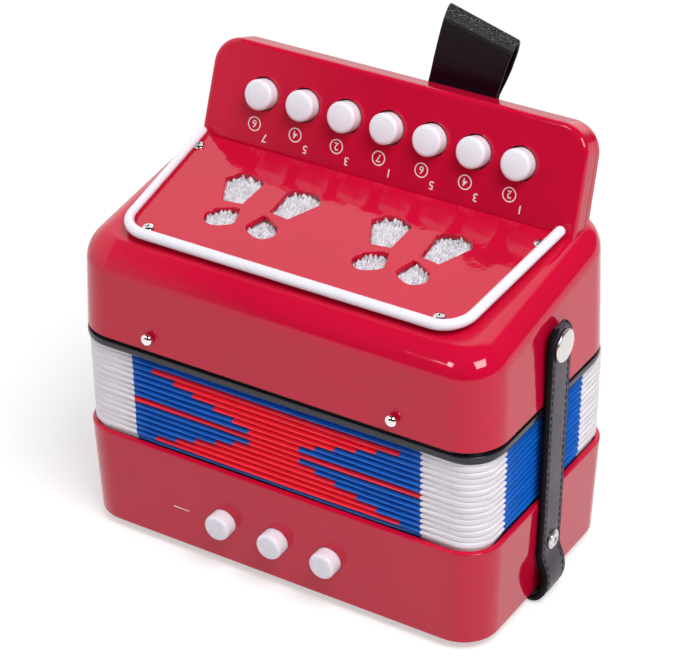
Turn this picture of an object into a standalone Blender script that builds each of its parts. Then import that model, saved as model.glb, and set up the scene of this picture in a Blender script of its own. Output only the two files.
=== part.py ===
"""Toy button accordion, standing on its bass end.

+Z is up, the button side of the bass end faces -Y, and the width runs along X.  The origin is on the floor,
in the middle of the whole object's box.  Lengths are metres.
"""
import math

import bmesh
import bpy
from mathutils import Matrix, Vector

# --- driving dimensions: casings ---------------------------------------------------------------------------
BODY_WIDTH = 0.170
BODY_DEPTH = 0.099
FOOT_RADIUS = 0.006
FOOT_INSET = 0.016
BASS_HEIGHT = 0.0397
BASS_DRAFT = 0.00136
BASS_CORNER_RADIUS = 0.0145
BASS_WALL = 0.0020
BELLOWS_SPAN = 0.0412
TREBLE_FRONT_CORNER_RADIUS = 0.016
TREBLE_BACK_CORNER_RADIUS = 0.020
TREBLE_DRAFT = 0.0016
TREBLE_WALL = 0.0022
TOP_FILLET = 0.0095
TOP_SLOPE = math.radians(8.9)
CORNER_STEPS = 4
FILLET_STEPS = 3
GAP = 0.0003

# --- keyboard ----------------------------------------------------------------------------------------------
PANEL_TILT = math.radians(17.8)
PANEL_FOOT_Y = 0.0256
PANEL_HEIGHT_AT_FOOT = 0.1292
PANEL_RISE = 0.0363
PANEL_FOOT_WIDTH = 0.1542
PANEL_TOP_WIDTH = 0.1522
PANEL_CORNER_RADIUS = 0.0108
PANEL_THICKNESS = 0.011
PANEL_EDGE_ROUND = 0.0018
COVER_THICKNESS = 0.0033
COVER_SKIN = 0.0016
TREBLE_KEYS = 7
KEY_CENTRE_X = -0.0004
KEY_PITCH = 0.01755
BUTTON_RADIUS = 0.0061
BUTTON_HOLE_CLEARANCE = 0.0006
BUTTON_UP = 0.0184
BUTTON_PROUD = 0.0042
BUTTON_TRAVEL = 0.0026
BUTTON_TAIL = 0.0030
BUTTON_PEG_RADIUS = 0.0015

# --- grille on the sloping top -----------------------------------------------------------------------------
PLATE_THICKNESS = 0.0020
TRIM_BACK_HALF_WIDTH = 0.0746
TRIM_FRONT_HALF_WIDTH = 0.0688
TRIM_REACH = 0.0646
TRIM_LIFT = 0.0012
TRIM_START = 0.0022
TRIM_CORNER_RADIUS = 0.0109
TRIM_SIDE_RADIUS = 0.00155
TRIM_FRONT_RADIUS = 0.0021
GRILLE_GROUP_X = 0.0305
GRILLE_GROUP_SHIFT = -0.0010
UPPER_PETAL = ((0.0058, -0.0328), (0.0137, -0.0339), (0.0198, -0.0220), (0.0178, -0.0186), (0.0140, -0.0170),
               (0.0095, -0.0176), (0.0052, -0.0204))
LOWER_PETAL = ((0.0050, -0.0359), (0.0068, -0.0361), (0.0132, -0.0396), (0.0146, -0.0430), (0.0138, -0.0456),
               (0.0106, -0.0477), (0.0064, -0.0468), (0.0025, -0.0431))
WINDOW_HALF_WIDTH = 0.058
WINDOW_NEAR = 0.014
WINDOW_FAR = 0.054
CLOTH_THICKNESS = 0.0006
CLOTH_INSET = 0.0008

# --- bellows -----------------------------------------------------------------------------------------------
RIDGE_COUNT = 15
RIDGES_PER_FOLD = 5
RIDGE_DEPTH = 0.0026
BELLOWS_WALL_GAP = 0.0005
BELLOWS_FLARE = 0.0011
BELLOWS_CORNER_RADIUS = 0.0115
AIRWAY_WIDTH = 0.150
AIRWAY_DEPTH = BODY_DEPTH - 0.019
AIRWAY_CORNER_RADIUS = 0.006
FLANGE_HEIGHT = 0.0058
FLANGE_GROOVE = 0.0030
FLANGE_GROOVE_DEPTH = 0.0010
FLANGE_INSET = 0.0010
SPIGOT_HEIGHT = 0.0103
BASS_FRAME_HEIGHT = 0.006
BASS_FRAME_BELOW_RIM = 0.0015
PIN_X = 0.0498
PIN_ABOVE_MOUTH = 0.0057
PIN_HEAD_RADIUS = 0.0023
PIN_HEAD_LIFT = 0.0007
PIN_PROUD = 0.0033

# --- action and reeds --------------------------------------------------------------------------------------
PAN_THICKNESS = 0.003
AXLE_RADIUS = 0.0010
HUB_RADIUS = 0.0030
HUB_WIDTH = 0.006
LEVER_WIDTH = 0.003
LEVER_THICKNESS = 0.0022
PALLET_WIDTH = 0.012
PALLET_LENGTH = 0.017
PALLET_THICKNESS = 0.0025
PALLET_HOLE_WIDTH = 0.008
PALLET_HOLE_LENGTH = 0.013
TREBLE_AXLE_UP = -0.014
TREBLE_AXLE_BACK = 0.0044
TREBLE_PALLET_Y = -0.0065
RAIL_DEPTH = 0.009
RAIL_BASE_THICKNESS = 0.0025
RAIL_POST_WIDTH = 0.0024
SPRING_RADIUS = 0.0021
SPRING_TURNS = 1
REED_PLATE_THICKNESS = 0.001
REED_PLATE_DEPTH = 0.030
REED_SLOT_LENGTH = 0.011
REED_SLOT_WIDTH = 0.0032
REED_THICKNESS = 0.0004

# --- bass end ----------------------------------------------------------------------------------------------
BASS_KEY_CENTRE_X = 0.0008
BASS_KEY_PITCH = 0.0222
BASS_BUTTON_HEIGHT = 0.0173
BASS_BUTTON_RADIUS = 0.0051
BASS_BUTTON_PROUD = 0.0060
BASS_FLANGE_RADIUS = 0.0063
BASS_FLANGE_THICKNESS = 0.0010
BASS_STEM_RADIUS = 0.0020
BASS_STEM_END = 0.0066
BASS_AXLE_DROP = 0.0095
BASS_AXLE_BACK = 0.0025
BASS_PALLET_REACH = 0.018
BASS_POST_WIDTH = 0.0024
BASS_SLOT_COUNT = 5
BASS_SLOT_PITCH = 0.012
BASS_SLOT_LENGTH = 0.030
BASS_SLOT_WIDTH = 0.003
PAN_POST_RADIUS = 0.0035
PAN_POST_INSET = 0.010

# --- straps and fasteners ----------------------------------------------------------------------------------
STRAP_WIDTH = 0.015
STRAP_THICKNESS = 0.0024
STRAP_Y = -0.0022
STRAP_SCREW_HEIGHT = 0.0218
STRAP_HINGE_ABOVE_SCREW = 0.0072
STRAP_END_ABOVE_SNAP = 0.0079
STRAP_END_CHAMFER = 0.004
STRAP_BULGE = 0.0050
SNAP_HEIGHT = 0.1027
SNAP_CAP_RADIUS = 0.0061
SNAP_CAP_THICKNESS = 0.0013
SNAP_STUD_RADIUS = 0.0052
SNAP_STUD_HEIGHT = 0.0008
SCREW_SHANK_RADIUS = 0.0010
STRAP_SCREW_RADIUS = 0.0036
SMALL_SCREW_RADIUS = 0.0019
GRILLE_SCREW_BACK = (0.0702, 0.0103)
GRILLE_SCREW_FRONT = (0.0588, 0.0597)
COVER_SCREW_X = 0.067
COVER_SCREW_UP = 0.0200
THUMB_STRAP_X = 0.0200
THUMB_STRAP_WIDTH = 0.0275
THUMB_STRAP_THICKNESS = 0.0013
THUMB_STRAP_SLACK = 0.0024
THUMB_STRAP_LOOP = 0.0255
THUMB_STRAP_TAIL = 0.0125
THUMB_STRAP_LEAN = 0.0070
THUMB_STRAP_SKEW = 0.0080

# --- places that follow from the sizes ---------------------------------------------------------------------
FOOT_HEIGHT = STRAP_THICKNESS + 2 * GAP
FLOOR_OF_BASS = FOOT_HEIGHT
RIM_Z = FOOT_HEIGHT + BASS_HEIGHT
MOUTH_Z = RIM_Z + BELLOWS_SPAN
PIN_INSET = TREBLE_DRAFT * PIN_ABOVE_MOUTH / (PANEL_HEIGHT_AT_FOOT - BASS_HEIGHT - BELLOWS_SPAN)
BUTTON_INSET = BASS_DRAFT * (1 - BASS_BUTTON_HEIGHT / BASS_HEIGHT)
BODY_Y = (BASS_BUTTON_PROUD - BUTTON_INSET - PIN_PROUD + PIN_INSET) / 2
CREASE = Vector((0, BODY_Y + PANEL_FOOT_Y, FOOT_HEIGHT + PANEL_HEIGHT_AT_FOOT))
PLATE_RISE = PLATE_THICKNESS + GAP
TOP_AT_CREASE_Z = CREASE.z - PLATE_RISE / math.cos(TOP_SLOPE)
SHELL_DEPTH = PANEL_THICKNESS - COVER_THICKNESS - GAP
FLANGE_BOTTOM_Z = MOUTH_Z - GAP - FLANGE_HEIGHT
SPIGOT_TOP_Z = MOUTH_Z - GAP + SPIGOT_HEIGHT
TREBLE_PAN_Z = SPIGOT_TOP_Z + GAP
BASS_FRAME_TOP_Z = RIM_Z - BASS_FRAME_BELOW_RIM
BASS_FRAME_Z = BASS_FRAME_TOP_Z - BASS_FRAME_HEIGHT
BASS_PAN_Z = BASS_FRAME_Z - GAP - PAN_THICKNESS
BELLOWS_BOTTOM_Z = BASS_FRAME_TOP_Z + GAP
BELLOWS_TOP_Z = FLANGE_BOTTOM_Z - GAP
RIDGE_PITCH = (BELLOWS_TOP_Z - BELLOWS_BOTTOM_Z) / RIDGE_COUNT
BELLOWS_WIDTH = BODY_WIDTH - 2 * (BASS_WALL + BELLOWS_WALL_GAP)
BELLOWS_DEPTH = BODY_DEPTH - 2 * (BASS_WALL + BELLOWS_WALL_GAP)
BASS_BUTTON_Z = FOOT_HEIGHT + BASS_BUTTON_HEIGHT
SNAP_Z = FOOT_HEIGHT + SNAP_HEIGHT
STRAP_SCREW_Z = FOOT_HEIGHT + STRAP_SCREW_HEIGHT
STRAP_HINGE_Z = STRAP_SCREW_Z + STRAP_HINGE_ABOVE_SCREW
KEY_XS = [KEY_CENTRE_X + (i - (TREBLE_KEYS - 1) / 2) * KEY_PITCH for i in range(TREBLE_KEYS)]
BASS_KEY_XS = [BASS_KEY_CENTRE_X + (i - 1) * BASS_KEY_PITCH for i in range(3)]


def panel_frame():
    """Frame on the keyboard's face: X across, Y up the face from the crease, Z out of the face."""
    up = Vector((0, math.sin(PANEL_TILT), math.cos(PANEL_TILT)))
    out = Vector((0, -math.cos(PANEL_TILT), math.sin(PANEL_TILT)))
    axes = Matrix((Vector((1, 0, 0)), up, out)).transposed().to_4x4()
    return Matrix.Translation(CREASE) @ axes


def top_frame():
    """Frame on the treble casing's sloping top: X across, Y back up the slope to the crease, Z out of it."""
    back = Vector((0, math.cos(TOP_SLOPE), math.sin(TOP_SLOPE)))
    out = Vector((0, -math.sin(TOP_SLOPE), math.cos(TOP_SLOPE)))
    axes = Matrix((Vector((1, 0, 0)), back, out)).transposed().to_4x4()
    return Matrix.Translation((0, CREASE.y, TOP_AT_CREASE_Z)) @ axes


PANEL = panel_frame()
TOP = top_frame()
TREBLE_AXLE = PANEL @ Vector((0, TREBLE_AXLE_UP, -TREBLE_AXLE_BACK))


def bass_half_width(z):
    """Half the bass casing's width at a height, with its draft."""
    return BODY_WIDTH / 2 - BASS_DRAFT * (RIM_Z - z) / BASS_HEIGHT


def bass_front_y(z):
    """The bass casing's front face at a height."""
    return BODY_Y - BODY_DEPTH / 2 + BASS_DRAFT * (RIM_Z - z) / BASS_HEIGHT


def treble_side_x(z):
    """The treble casing's side face at a height, with its draft."""
    return BODY_WIDTH / 2 - TREBLE_DRAFT * (z - MOUTH_Z) / (CREASE.z - MOUTH_Z)


BASS_AXLE = Vector((0, bass_front_y(BASS_BUTTON_Z) + BASS_WALL + BASS_STEM_END + BASS_AXLE_BACK,
                    BASS_BUTTON_Z - BASS_AXLE_DROP))


# --- finishes ----------------------------------------------------------------------------------------------
def finish(name, colour, roughness, metallic=0.0):
    """A Principled material."""
    material = bpy.data.materials.new(name)
    material.use_nodes = True
    shader = material.node_tree.nodes["Principled BSDF"]
    shader.inputs["Base Color"].default_value = (*colour, 1.0)
    shader.inputs["Roughness"].default_value = roughness
    shader.inputs["Metallic"].default_value = metallic
    material.diffuse_color = (*colour, 1.0)
    return material


def make_finishes():
    return {
        "red": finish("red_plastic", (0.55, 0.01, 0.03), 0.12),
        "white": finish("white_plastic", (0.80, 0.79, 0.80), 0.3),
        "black": finish("black_plastic", (0.03, 0.03, 0.035), 0.35),
        "leather": finish("black_leatherette", (0.03, 0.027, 0.035), 0.5),
        "blue_cloth": finish("bellows_cloth", (0.01, 0.10, 0.42), 0.6),
        "mesh_cloth": finish("grille_mesh", (0.75, 0.75, 0.75), 0.7),
        "nickel": finish("nickel", (0.75, 0.74, 0.72), 0.2, 1.0),
        "steel": finish("steel", (0.5, 0.5, 0.5), 0.35, 1.0),
        "brass": finish("reed_brass", (0.75, 0.55, 0.2), 0.35, 1.0),
        "pale": finish("pale_plastic", (0.6, 0.58, 0.52), 0.5),
    }


# --- shape helpers -----------------------------------------------------------------------------------------
def face_out(shape):
    """Turn every face of one closed bmesh outward."""
    shape.normal_update()
    bmesh.ops.recalc_face_normals(shape, faces=shape.faces)
    if shape.calc_volume(signed=True) < 0:
        bmesh.ops.reverse_faces(shape, faces=shape.faces)


def new_object(name, shape, material, smooth_angle=35):
    """Turn a bmesh into a named object with outward faces."""
    face_out(shape)
    mesh = bpy.data.meshes.new(name)
    shape.to_mesh(mesh)
    shape.free()
    mesh.materials.append(material)
    mesh.shade_smooth()
    mesh.set_sharp_from_angle(angle=math.radians(smooth_angle))
    thing = bpy.data.objects.new(name, mesh)
    bpy.context.scene.collection.objects.link(thing)
    return thing


def hang(thing, point):
    """Put an object's origin on its joint's axis and leave its shape where it is."""
    thing.data.transform(Matrix.Translation(-Vector(point)))
    thing.location += Vector(point)


def repeat(first, names, xs):
    """Place an object at the first X and a copy of it, with its own name, at each of the others."""
    first.location.x = xs[0]
    for name, x in zip(names[1:], xs[1:]):
        copy = bpy.data.objects.new(name, first.data)
        copy.location = (x, first.location.y, first.location.z)
        bpy.context.scene.collection.objects.link(copy)


def combine(target, shape, operation):
    """Join a bmesh to an object, or cut it out, with an exact Boolean."""
    tool = new_object("tool", shape, target.data.materials[0])
    modifier = target.modifiers.new("combine", "BOOLEAN")
    modifier.operation = operation
    modifier.solver = "EXACT"
    modifier.object = tool
    with bpy.context.temp_override(object=target, active_object=target, selected_objects=[target]):
        bpy.ops.object.modifier_apply(modifier=modifier.name)
    mesh = tool.data
    bpy.data.objects.remove(tool)
    bpy.data.meshes.remove(mesh)
    target.data.shade_smooth()
    target.data.set_sharp_from_angle(angle=math.radians(35))


def cut(target, *shapes):
    """Cut each shape out of the object; shapes in one call don't touch each other."""
    combine(target, merged(shapes), "DIFFERENCE")


def add(target, *shapes):
    """Fuse each shape to the object; shapes in one call don't touch each other."""
    combine(target, merged(shapes), "UNION")


def merged(shapes):
    """One bmesh that holds several separate shapes."""
    whole = bmesh.new()
    for shape in shapes:
        face_out(shape)
        mesh = bpy.data.meshes.new("piece")
        shape.to_mesh(mesh)
        shape.free()
        whole.from_mesh(mesh)
        bpy.data.meshes.remove(mesh)
    return whole


def rounded_rectangle(width, depth, radius, steps=CORNER_STEPS, centre=(0.0, 0.0), back_radius=None):
    """Points of a rectangle with round corners, anticlockwise."""
    points = []
    for quarter, (sx, sy) in enumerate(((1, 1), (-1, 1), (-1, -1), (1, -1))):
        corner = back_radius if sy > 0 and back_radius else radius
        for step in range(steps + 1):
            angle = math.pi / 2 * (quarter + step / steps)
            points.append((centre[0] + sx * (width / 2 - corner) + corner * math.cos(angle),
                           centre[1] + sy * (depth / 2 - corner) + corner * math.sin(angle)))
    return points


def prism(outline, low, high, frame=None):
    """Extrude a flat outline from one height to another, then place it in a frame."""
    shape = bmesh.new()
    face = shape.faces.new([shape.verts.new((x, y, low)) for x, y in outline])
    grown = bmesh.ops.extrude_face_region(shape, geom=[face])["geom"]
    top = [item for item in grown if isinstance(item, bmesh.types.BMVert)]
    bmesh.ops.translate(shape, verts=top, vec=(0, 0, high - low))
    if frame is not None:
        shape.transform(frame)
    return shape


def loft(loops, closed_ends=True):
    """Skin matching loops of points in order; a ring of loops when the ends aren't closed."""
    shape = bmesh.new()
    rings = [[shape.verts.new(point) for point in loop] for loop in loops]
    pairs = list(zip(rings, rings[1:]))
    if closed_ends:
        shape.faces.new(rings[0])
        shape.faces.new(rings[-1])
    else:
        pairs.append((rings[-1], rings[0]))
    for lower, upper in pairs:
        for i in range(len(lower)):
            j = (i + 1) % len(lower)
            shape.faces.new((lower[i], lower[j], upper[j], upper[i]))
    return shape


def level_loop(width, depth, radius, z):
    """A round-cornered loop at one height, around the body's middle."""
    return [(x, y + BODY_Y, z) for x, y in rounded_rectangle(width, depth, radius)]


def treble_loop(inset, z, height=None):
    """The treble casing's outline at a height, drawn in by an inset; it can be placed at another height."""
    shrink = inset + BODY_WIDTH / 2 - treble_side_x(z)
    outline = rounded_rectangle(BODY_WIDTH - 2 * shrink, BODY_DEPTH - 2 * shrink,
                                TREBLE_FRONT_CORNER_RADIUS - inset,
                                back_radius=TREBLE_BACK_CORNER_RADIUS - inset)
    return [(x, y + BODY_Y, z if height is None else height) for x, y in outline]


def lathe(profile, segments, frame):
    """Spin a profile of (radius, height) about Z and place it in a frame."""
    shape = bmesh.new()
    verts = [shape.verts.new((radius, 0, height)) for radius, height in profile]
    edges = [shape.edges.new(pair) for pair in zip(verts, verts[1:])]
    if profile[0][0] > 0 and profile[-1][0] > 0:
        edges.append(shape.edges.new((verts[-1], verts[0])))
    bmesh.ops.spin(shape, geom=verts + edges, cent=(0, 0, 0), axis=(0, 0, 1), angle=math.tau, steps=segments)
    bmesh.ops.remove_doubles(shape, verts=shape.verts, dist=1e-6)
    shape.transform(frame)
    return shape


def along(start, end):
    """Frame with Z from one point towards another."""
    direction = Vector(end) - Vector(start)
    return Matrix.Translation(start) @ direction.to_track_quat("Z", "Y").to_matrix().to_4x4()


def rod(radius, start, end, segments=16):
    """A plain cylinder between two points."""
    length = (Vector(end) - Vector(start)).length
    return lathe([(0, 0), (radius, 0), (radius, length), (0, length)], segments, along(start, end))


def block(low, high):
    """A box between two corners."""
    outline = [(low[0], low[1]), (high[0], low[1]), (high[0], high[1]), (low[0], high[1])]
    return prism(outline, low[2], high[2])


def side_profile(outline, low_x, high_x):
    """Extrude a (y, z) outline along X."""
    frame = Matrix(((0, 0, 1, 0), (1, 0, 0, 0), (0, 1, 0, 0), (0, 0, 0, 1)))
    return prism(outline, low_x, high_x, frame)


def thick_path(points, thickness):
    """Outline of a bar of even thickness that follows a path, with mitred bends."""
    left, right = [], []
    for i, point in enumerate(points):
        here = Vector(point)
        before = (here - Vector(points[i - 1])).normalized() if i > 0 else None
        after = (Vector(points[i + 1]) - here).normalized() if i < len(points) - 1 else None
        heading = (before + after).normalized() if before and after else (before or after)
        normal = Vector((-heading.y, heading.x))
        stretch = 1 / heading.dot(after or before)
        left.append(here + normal * thickness / 2 * stretch)
        right.append(here - normal * thickness / 2 * stretch)
    return [tuple(p) for p in left + right[::-1]]


# --- treble casing, keyboard and grille --------------------------------------------------------------------
def casing_block(wall):
    """Solid of the treble casing's body, inset by a wall; its top slopes down to the front."""
    high = CREASE.z + BODY_DEPTH * math.tan(TOP_SLOPE)
    mouth = MOUTH_Z if wall == 0 else MOUTH_Z - TREBLE_WALL
    shape = loft([treble_loop(wall, mouth), treble_loop(wall, high)])
    out = TOP.to_3x3() @ Vector((0, 0, 1))
    plane = TOP.translation - out * wall
    bmesh.ops.bisect_plane(shape, geom=shape.verts[:] + shape.edges[:] + shape.faces[:], plane_co=plane,
                           plane_no=out, clear_outer=True)
    rim = [edge for edge in shape.edges if edge.is_boundary]
    bmesh.ops.edgeloop_fill(shape, edges=rim)
    bmesh.ops.bevel(shape, geom=rim, offset=TOP_FILLET - wall, segments=FILLET_STEPS, profile=0.5,
                    affect="EDGES")
    return shape


def panel_outline(foot_up, inset=0.0):
    """Keyboard outline in its own frame, from a height up the face to its round top corners."""
    taper = (PANEL_FOOT_WIDTH - PANEL_TOP_WIDTH) / 2 / PANEL_RISE
    foot = PANEL_FOOT_WIDTH / 2 - taper * foot_up - inset
    radius = PANEL_CORNER_RADIUS - inset
    top = PANEL_RISE - inset
    centre_x = PANEL_TOP_WIDTH / 2 - inset - radius
    points = [(-foot, foot_up), (foot, foot_up)]
    for side in (1, -1):
        for step in range(CORNER_STEPS + 1):
            angle = math.pi / 2 * step / CORNER_STEPS
            if side < 0:
                angle = math.pi / 2 - angle
            points.append((side * (centre_x + radius * math.cos(angle)),
                           top - radius + radius * math.sin(angle)))
    return points


def shoulder_up(back):
    """How far up the keyboard's face the casing's top comes, at a depth behind that face."""
    rise = math.cos(PANEL_TILT) - math.tan(TOP_SLOPE) * math.sin(PANEL_TILT)
    fall = math.sin(PANEL_TILT) + math.tan(TOP_SLOPE) * math.cos(PANEL_TILT)
    return (TOP_AT_CREASE_Z - CREASE.z + fall * back) / rise


def panel_slab():
    """Front shell of the keyboard, with its face's edge rounded over."""
    outline = panel_outline(TREBLE_AXLE_UP / 2)
    shape = prism(outline, -SHELL_DEPTH, 0)
    face_edges = [edge for edge in shape.edges
                  if all(abs(vert.co.z) < 1e-7 for vert in edge.verts)
                  and max(vert.co.y for vert in edge.verts) > TREBLE_AXLE_UP / 2 + 1e-6]
    bmesh.ops.bevel(shape, geom=face_edges, offset=PANEL_EDGE_ROUND, segments=3, profile=0.5, affect="EDGES")
    shape.transform(PANEL)
    return shape


def cover_posts(radius, low, high, segments=12):
    """Round posts or holes at the back cover's two screws, in the keyboard's frame."""
    return [rod(radius, PANEL @ Vector((x, COVER_SCREW_UP, low)), PANEL @ Vector((x, COVER_SCREW_UP, high)),
                segments) for x in (-COVER_SCREW_X, COVER_SCREW_X)]


def grille_screw_places():
    """Grille screws as (x, distance down the slope)."""
    return [(side * x, down) for x, down in (GRILLE_SCREW_BACK, GRILLE_SCREW_FRONT) for side in (-1, 1)]


def make_treble_casing(finishes):
    casing = new_object("treble_casing", casing_block(0), finishes["red"])
    add(casing, panel_slab())
    cut(casing, casing_block(TREBLE_WALL))
    foot = TREBLE_AXLE_UP
    width = PANEL_FOOT_WIDTH - 2 * TREBLE_WALL - 2 * PANEL_CORNER_RADIUS / 2
    ledge = shoulder_up(PANEL_THICKNESS) + TREBLE_WALL
    pocket = [(x, max(y, ledge)) for x, y in panel_outline(ledge, TREBLE_WALL)]
    cut(casing, prism(pocket, -PANEL_THICKNESS, -TREBLE_WALL, PANEL))
    passage = [(-width / 2, foot), (width / 2, foot), (width / 2, ledge + TREBLE_WALL),
               (-width / 2, ledge + TREBLE_WALL)]
    swing = BUTTON_TRAVEL * (ledge + TREBLE_WALL - TREBLE_AXLE_UP) / (BUTTON_UP - TREBLE_AXLE_UP)
    reach = TREBLE_AXLE_BACK + LEVER_THICKNESS / 2 + swing + GAP
    cut(casing, prism(passage, -reach, -TREBLE_WALL, PANEL))
    add(casing, *cover_posts(3 * SCREW_SHANK_RADIUS, -SHELL_DEPTH, -TREBLE_WALL / 2))
    cut(casing, *cover_posts(SCREW_SHANK_RADIUS + GAP, -PANEL_THICKNESS, -TREBLE_WALL))
    hole = BUTTON_RADIUS + BUTTON_HOLE_CLEARANCE
    cut(casing, *[rod(hole, PANEL @ Vector((x, BUTTON_UP, -2 * TREBLE_WALL)),
                      PANEL @ Vector((x, BUTTON_UP, TREBLE_WALL)), 16) for x in KEY_XS])
    window = rounded_rectangle(2 * WINDOW_HALF_WIDTH, WINDOW_FAR - WINDOW_NEAR, TREBLE_WALL, 2,
                               (0, -(WINDOW_FAR + WINDOW_NEAR) / 2))
    holes = [prism(window, -2 * TREBLE_WALL, TREBLE_WALL, TOP)]
    shank = SCREW_SHANK_RADIUS + GAP
    for x, down in grille_screw_places():
        holes.append(rod(shank, TOP @ Vector((x, -down, -2 * TREBLE_WALL)),
                         TOP @ Vector((x, -down, TREBLE_WALL)), 10))
    for start, end in pin_lines(TREBLE_WALL * 2, TREBLE_WALL):
        holes.append(rod(shank, start, end, 10))
    for side in (-1, 1):
        x = treble_side_x(SNAP_Z)
        y = BODY_Y + STRAP_Y
        holes.append(rod(shank, (side * (x - 2 * TREBLE_WALL), y, SNAP_Z),
                         (side * (x + TREBLE_WALL), y, SNAP_Z), 10))
    cut(casing, *holes)
    return casing


def make_back_cover(finishes):
    """Shallow tray that closes the keyboard's back; its foot follows the casing's shoulder."""
    inner = -SHELL_DEPTH - GAP
    outer = -PANEL_THICKNESS
    outline = panel_outline(0)
    shape = prism(outline, outer, inner)
    for vert in shape.verts:
        if vert.co.y < 1e-6:
            vert.co.y = shoulder_up(-vert.co.z) + GAP
    back_edges = [edge for edge in shape.edges if all(abs(v.co.z - outer) < 1e-7 for v in edge.verts)
                  and max(v.co.y for v in edge.verts) > PANEL_RISE / 2]
    bmesh.ops.bevel(shape, geom=back_edges, offset=PANEL_EDGE_ROUND / 2, segments=2, profile=0.5,
                    affect="EDGES")
    shape.transform(PANEL)
    cover = new_object("keyboard_back_cover", shape, finishes["red"])
    ledge = shoulder_up(PANEL_THICKNESS) + TREBLE_WALL
    hollow = panel_outline(ledge, TREBLE_WALL)
    cut(cover, prism(hollow, outer + COVER_SKIN, inner + COVER_SKIN, PANEL))
    add(cover, *cover_posts(3 * SCREW_SHANK_RADIUS, outer + COVER_SKIN / 2, inner))
    cut(cover, *cover_posts(SCREW_SHANK_RADIUS + GAP, outer - COVER_SKIN, inner + COVER_SKIN))
    return cover


def trim_route(inset):
    """Points of the grille's edge, from its right back corner round the front to the left, in the top frame."""
    back = Vector((TRIM_BACK_HALF_WIDTH, -TRIM_START))
    front = Vector((TRIM_FRONT_HALF_WIDTH, -TRIM_REACH))
    side = (front - back).normalized()
    inward = Vector((side.y, -side.x))
    back += inward * inset
    reach = TRIM_REACH - inset
    corner = back + side * ((-reach - back.y) / side.y)
    radius = TRIM_CORNER_RADIUS - inset
    turn = math.acos(side.dot(Vector((-1, 0))))
    centre = corner - side * radius * math.tan(turn / 2) + inward * radius
    right = [back]
    for step in range(CORNER_STEPS + 1):
        angle = turn * step / CORNER_STEPS
        spoke = Matrix.Rotation(-angle, 2) @ (-inward)
        right.append(centre + spoke * radius)
    return [tuple(p) for p in right] + [(-p[0], p[1]) for p in reversed(right)]


def grille_petals():
    """Two groups of four fan-shaped holes, each group mirrored about its own middle."""
    petals = []
    for group in (-1, 1):
        middle = GRILLE_GROUP_SHIFT + group * GRILLE_GROUP_X
        for side in (-1, 1):
            for outline in (UPPER_PETAL, LOWER_PETAL):
                petals.append([(middle + side * x, y) for x, y in outline])
    return petals


def make_grille(finishes):
    edge = trim_route(TRIM_FRONT_RADIUS + GAP)
    plate = new_object("grille_plate", prism(edge, GAP, PLATE_RISE, TOP), finishes["red"])
    holes = [prism(outline, -PLATE_RISE, 2 * PLATE_RISE, TOP) for outline in grille_petals()]
    for x, down in grille_screw_places():
        holes.append(rod(SCREW_SHANK_RADIUS + GAP, TOP @ Vector((x, -down, -PLATE_RISE)),
                         TOP @ Vector((x, -down, 2 * PLATE_RISE)), 10))
    cut(plate, *holes)

    route = bpy.data.curves.new("grille_trim", "CURVE")
    route.dimensions = "3D"
    route.bevel_depth = 1.0
    route.bevel_resolution = 3
    route.use_fill_caps = True
    points = trim_route(0)
    spline = route.splines.new("POLY")
    spline.points.add(len(points) - 1)
    for control, (x, y) in zip(spline.points, points):
        forward = min(1.0, max(0.0, (-y - TRIM_REACH + TRIM_CORNER_RADIUS) / TRIM_CORNER_RADIUS))
        radius = TRIM_SIDE_RADIUS + (TRIM_FRONT_RADIUS - TRIM_SIDE_RADIUS) * forward
        control.co = (*(TOP @ Vector((x, y, PLATE_RISE + TRIM_LIFT))), 1)
        control.radius = radius
    trim = bpy.data.objects.new("grille_trim", route)
    route.materials.append(finishes["white"])
    bpy.context.scene.collection.objects.link(trim)

    half_width = WINDOW_HALF_WIDTH - CLOTH_INSET
    low, high = -WINDOW_FAR + CLOTH_INSET, -WINDOW_NEAR - CLOTH_INSET
    cloth = [(-half_width, low), (half_width, low), (half_width, high), (-half_width, high)]
    new_object("grille_cloth", prism(cloth, -CLOTH_THICKNESS, 0, TOP), finishes["mesh_cloth"])

    screws = [screw(SMALL_SCREW_RADIUS, TREBLE_WALL + PLATE_RISE,
                    TOP @ Matrix.Translation((x, -down, PLATE_RISE + GAP))) for x, down in grille_screw_places()]
    new_set("grille_screw", screws, finishes["nickel"])


def new_set(stem, shapes, material):
    """Number the shapes of a set and make each its own object."""
    for number, shape in enumerate(shapes, 1):
        new_object(f"{stem}_{number}", shape, material)


def screw(radius, length, frame, washer=0.0):
    """Domed screw seated at the frame's origin, with its shank running down -Z."""
    crown = radius * 0.55
    profile = [(0, -length), (SCREW_SHANK_RADIUS, -length), (SCREW_SHANK_RADIUS, 0)]
    if washer:
        profile += [(radius, 0), (radius, washer), (radius * 0.72, washer)]
        radius *= 0.72
    else:
        profile += [(radius, 0)]
    profile += [(radius * 0.86, washer + crown * 0.6), (radius * 0.45, washer + crown * 0.95),
                (0, washer + crown)]
    return lathe(profile, 12, frame)


# --- treble action -----------------------------------------------------------------------------------------
def treble_button_mesh():
    """Round push button with a domed face and a socket at its back for the lever's peg."""
    socket = BUTTON_PEG_RADIUS + GAP
    front = BUTTON_PROUD
    back = -BUTTON_TAIL
    profile = [(0, back + 0.0023), (socket, back + 0.0023), (socket, back), (BUTTON_RADIUS, back),
               (BUTTON_RADIUS, front - 0.0011), (BUTTON_RADIUS - 0.0008, front - 0.0002), (0, front)]
    return lathe(profile, 16, PANEL @ Matrix.Translation((0, BUTTON_UP, 0)))


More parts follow.
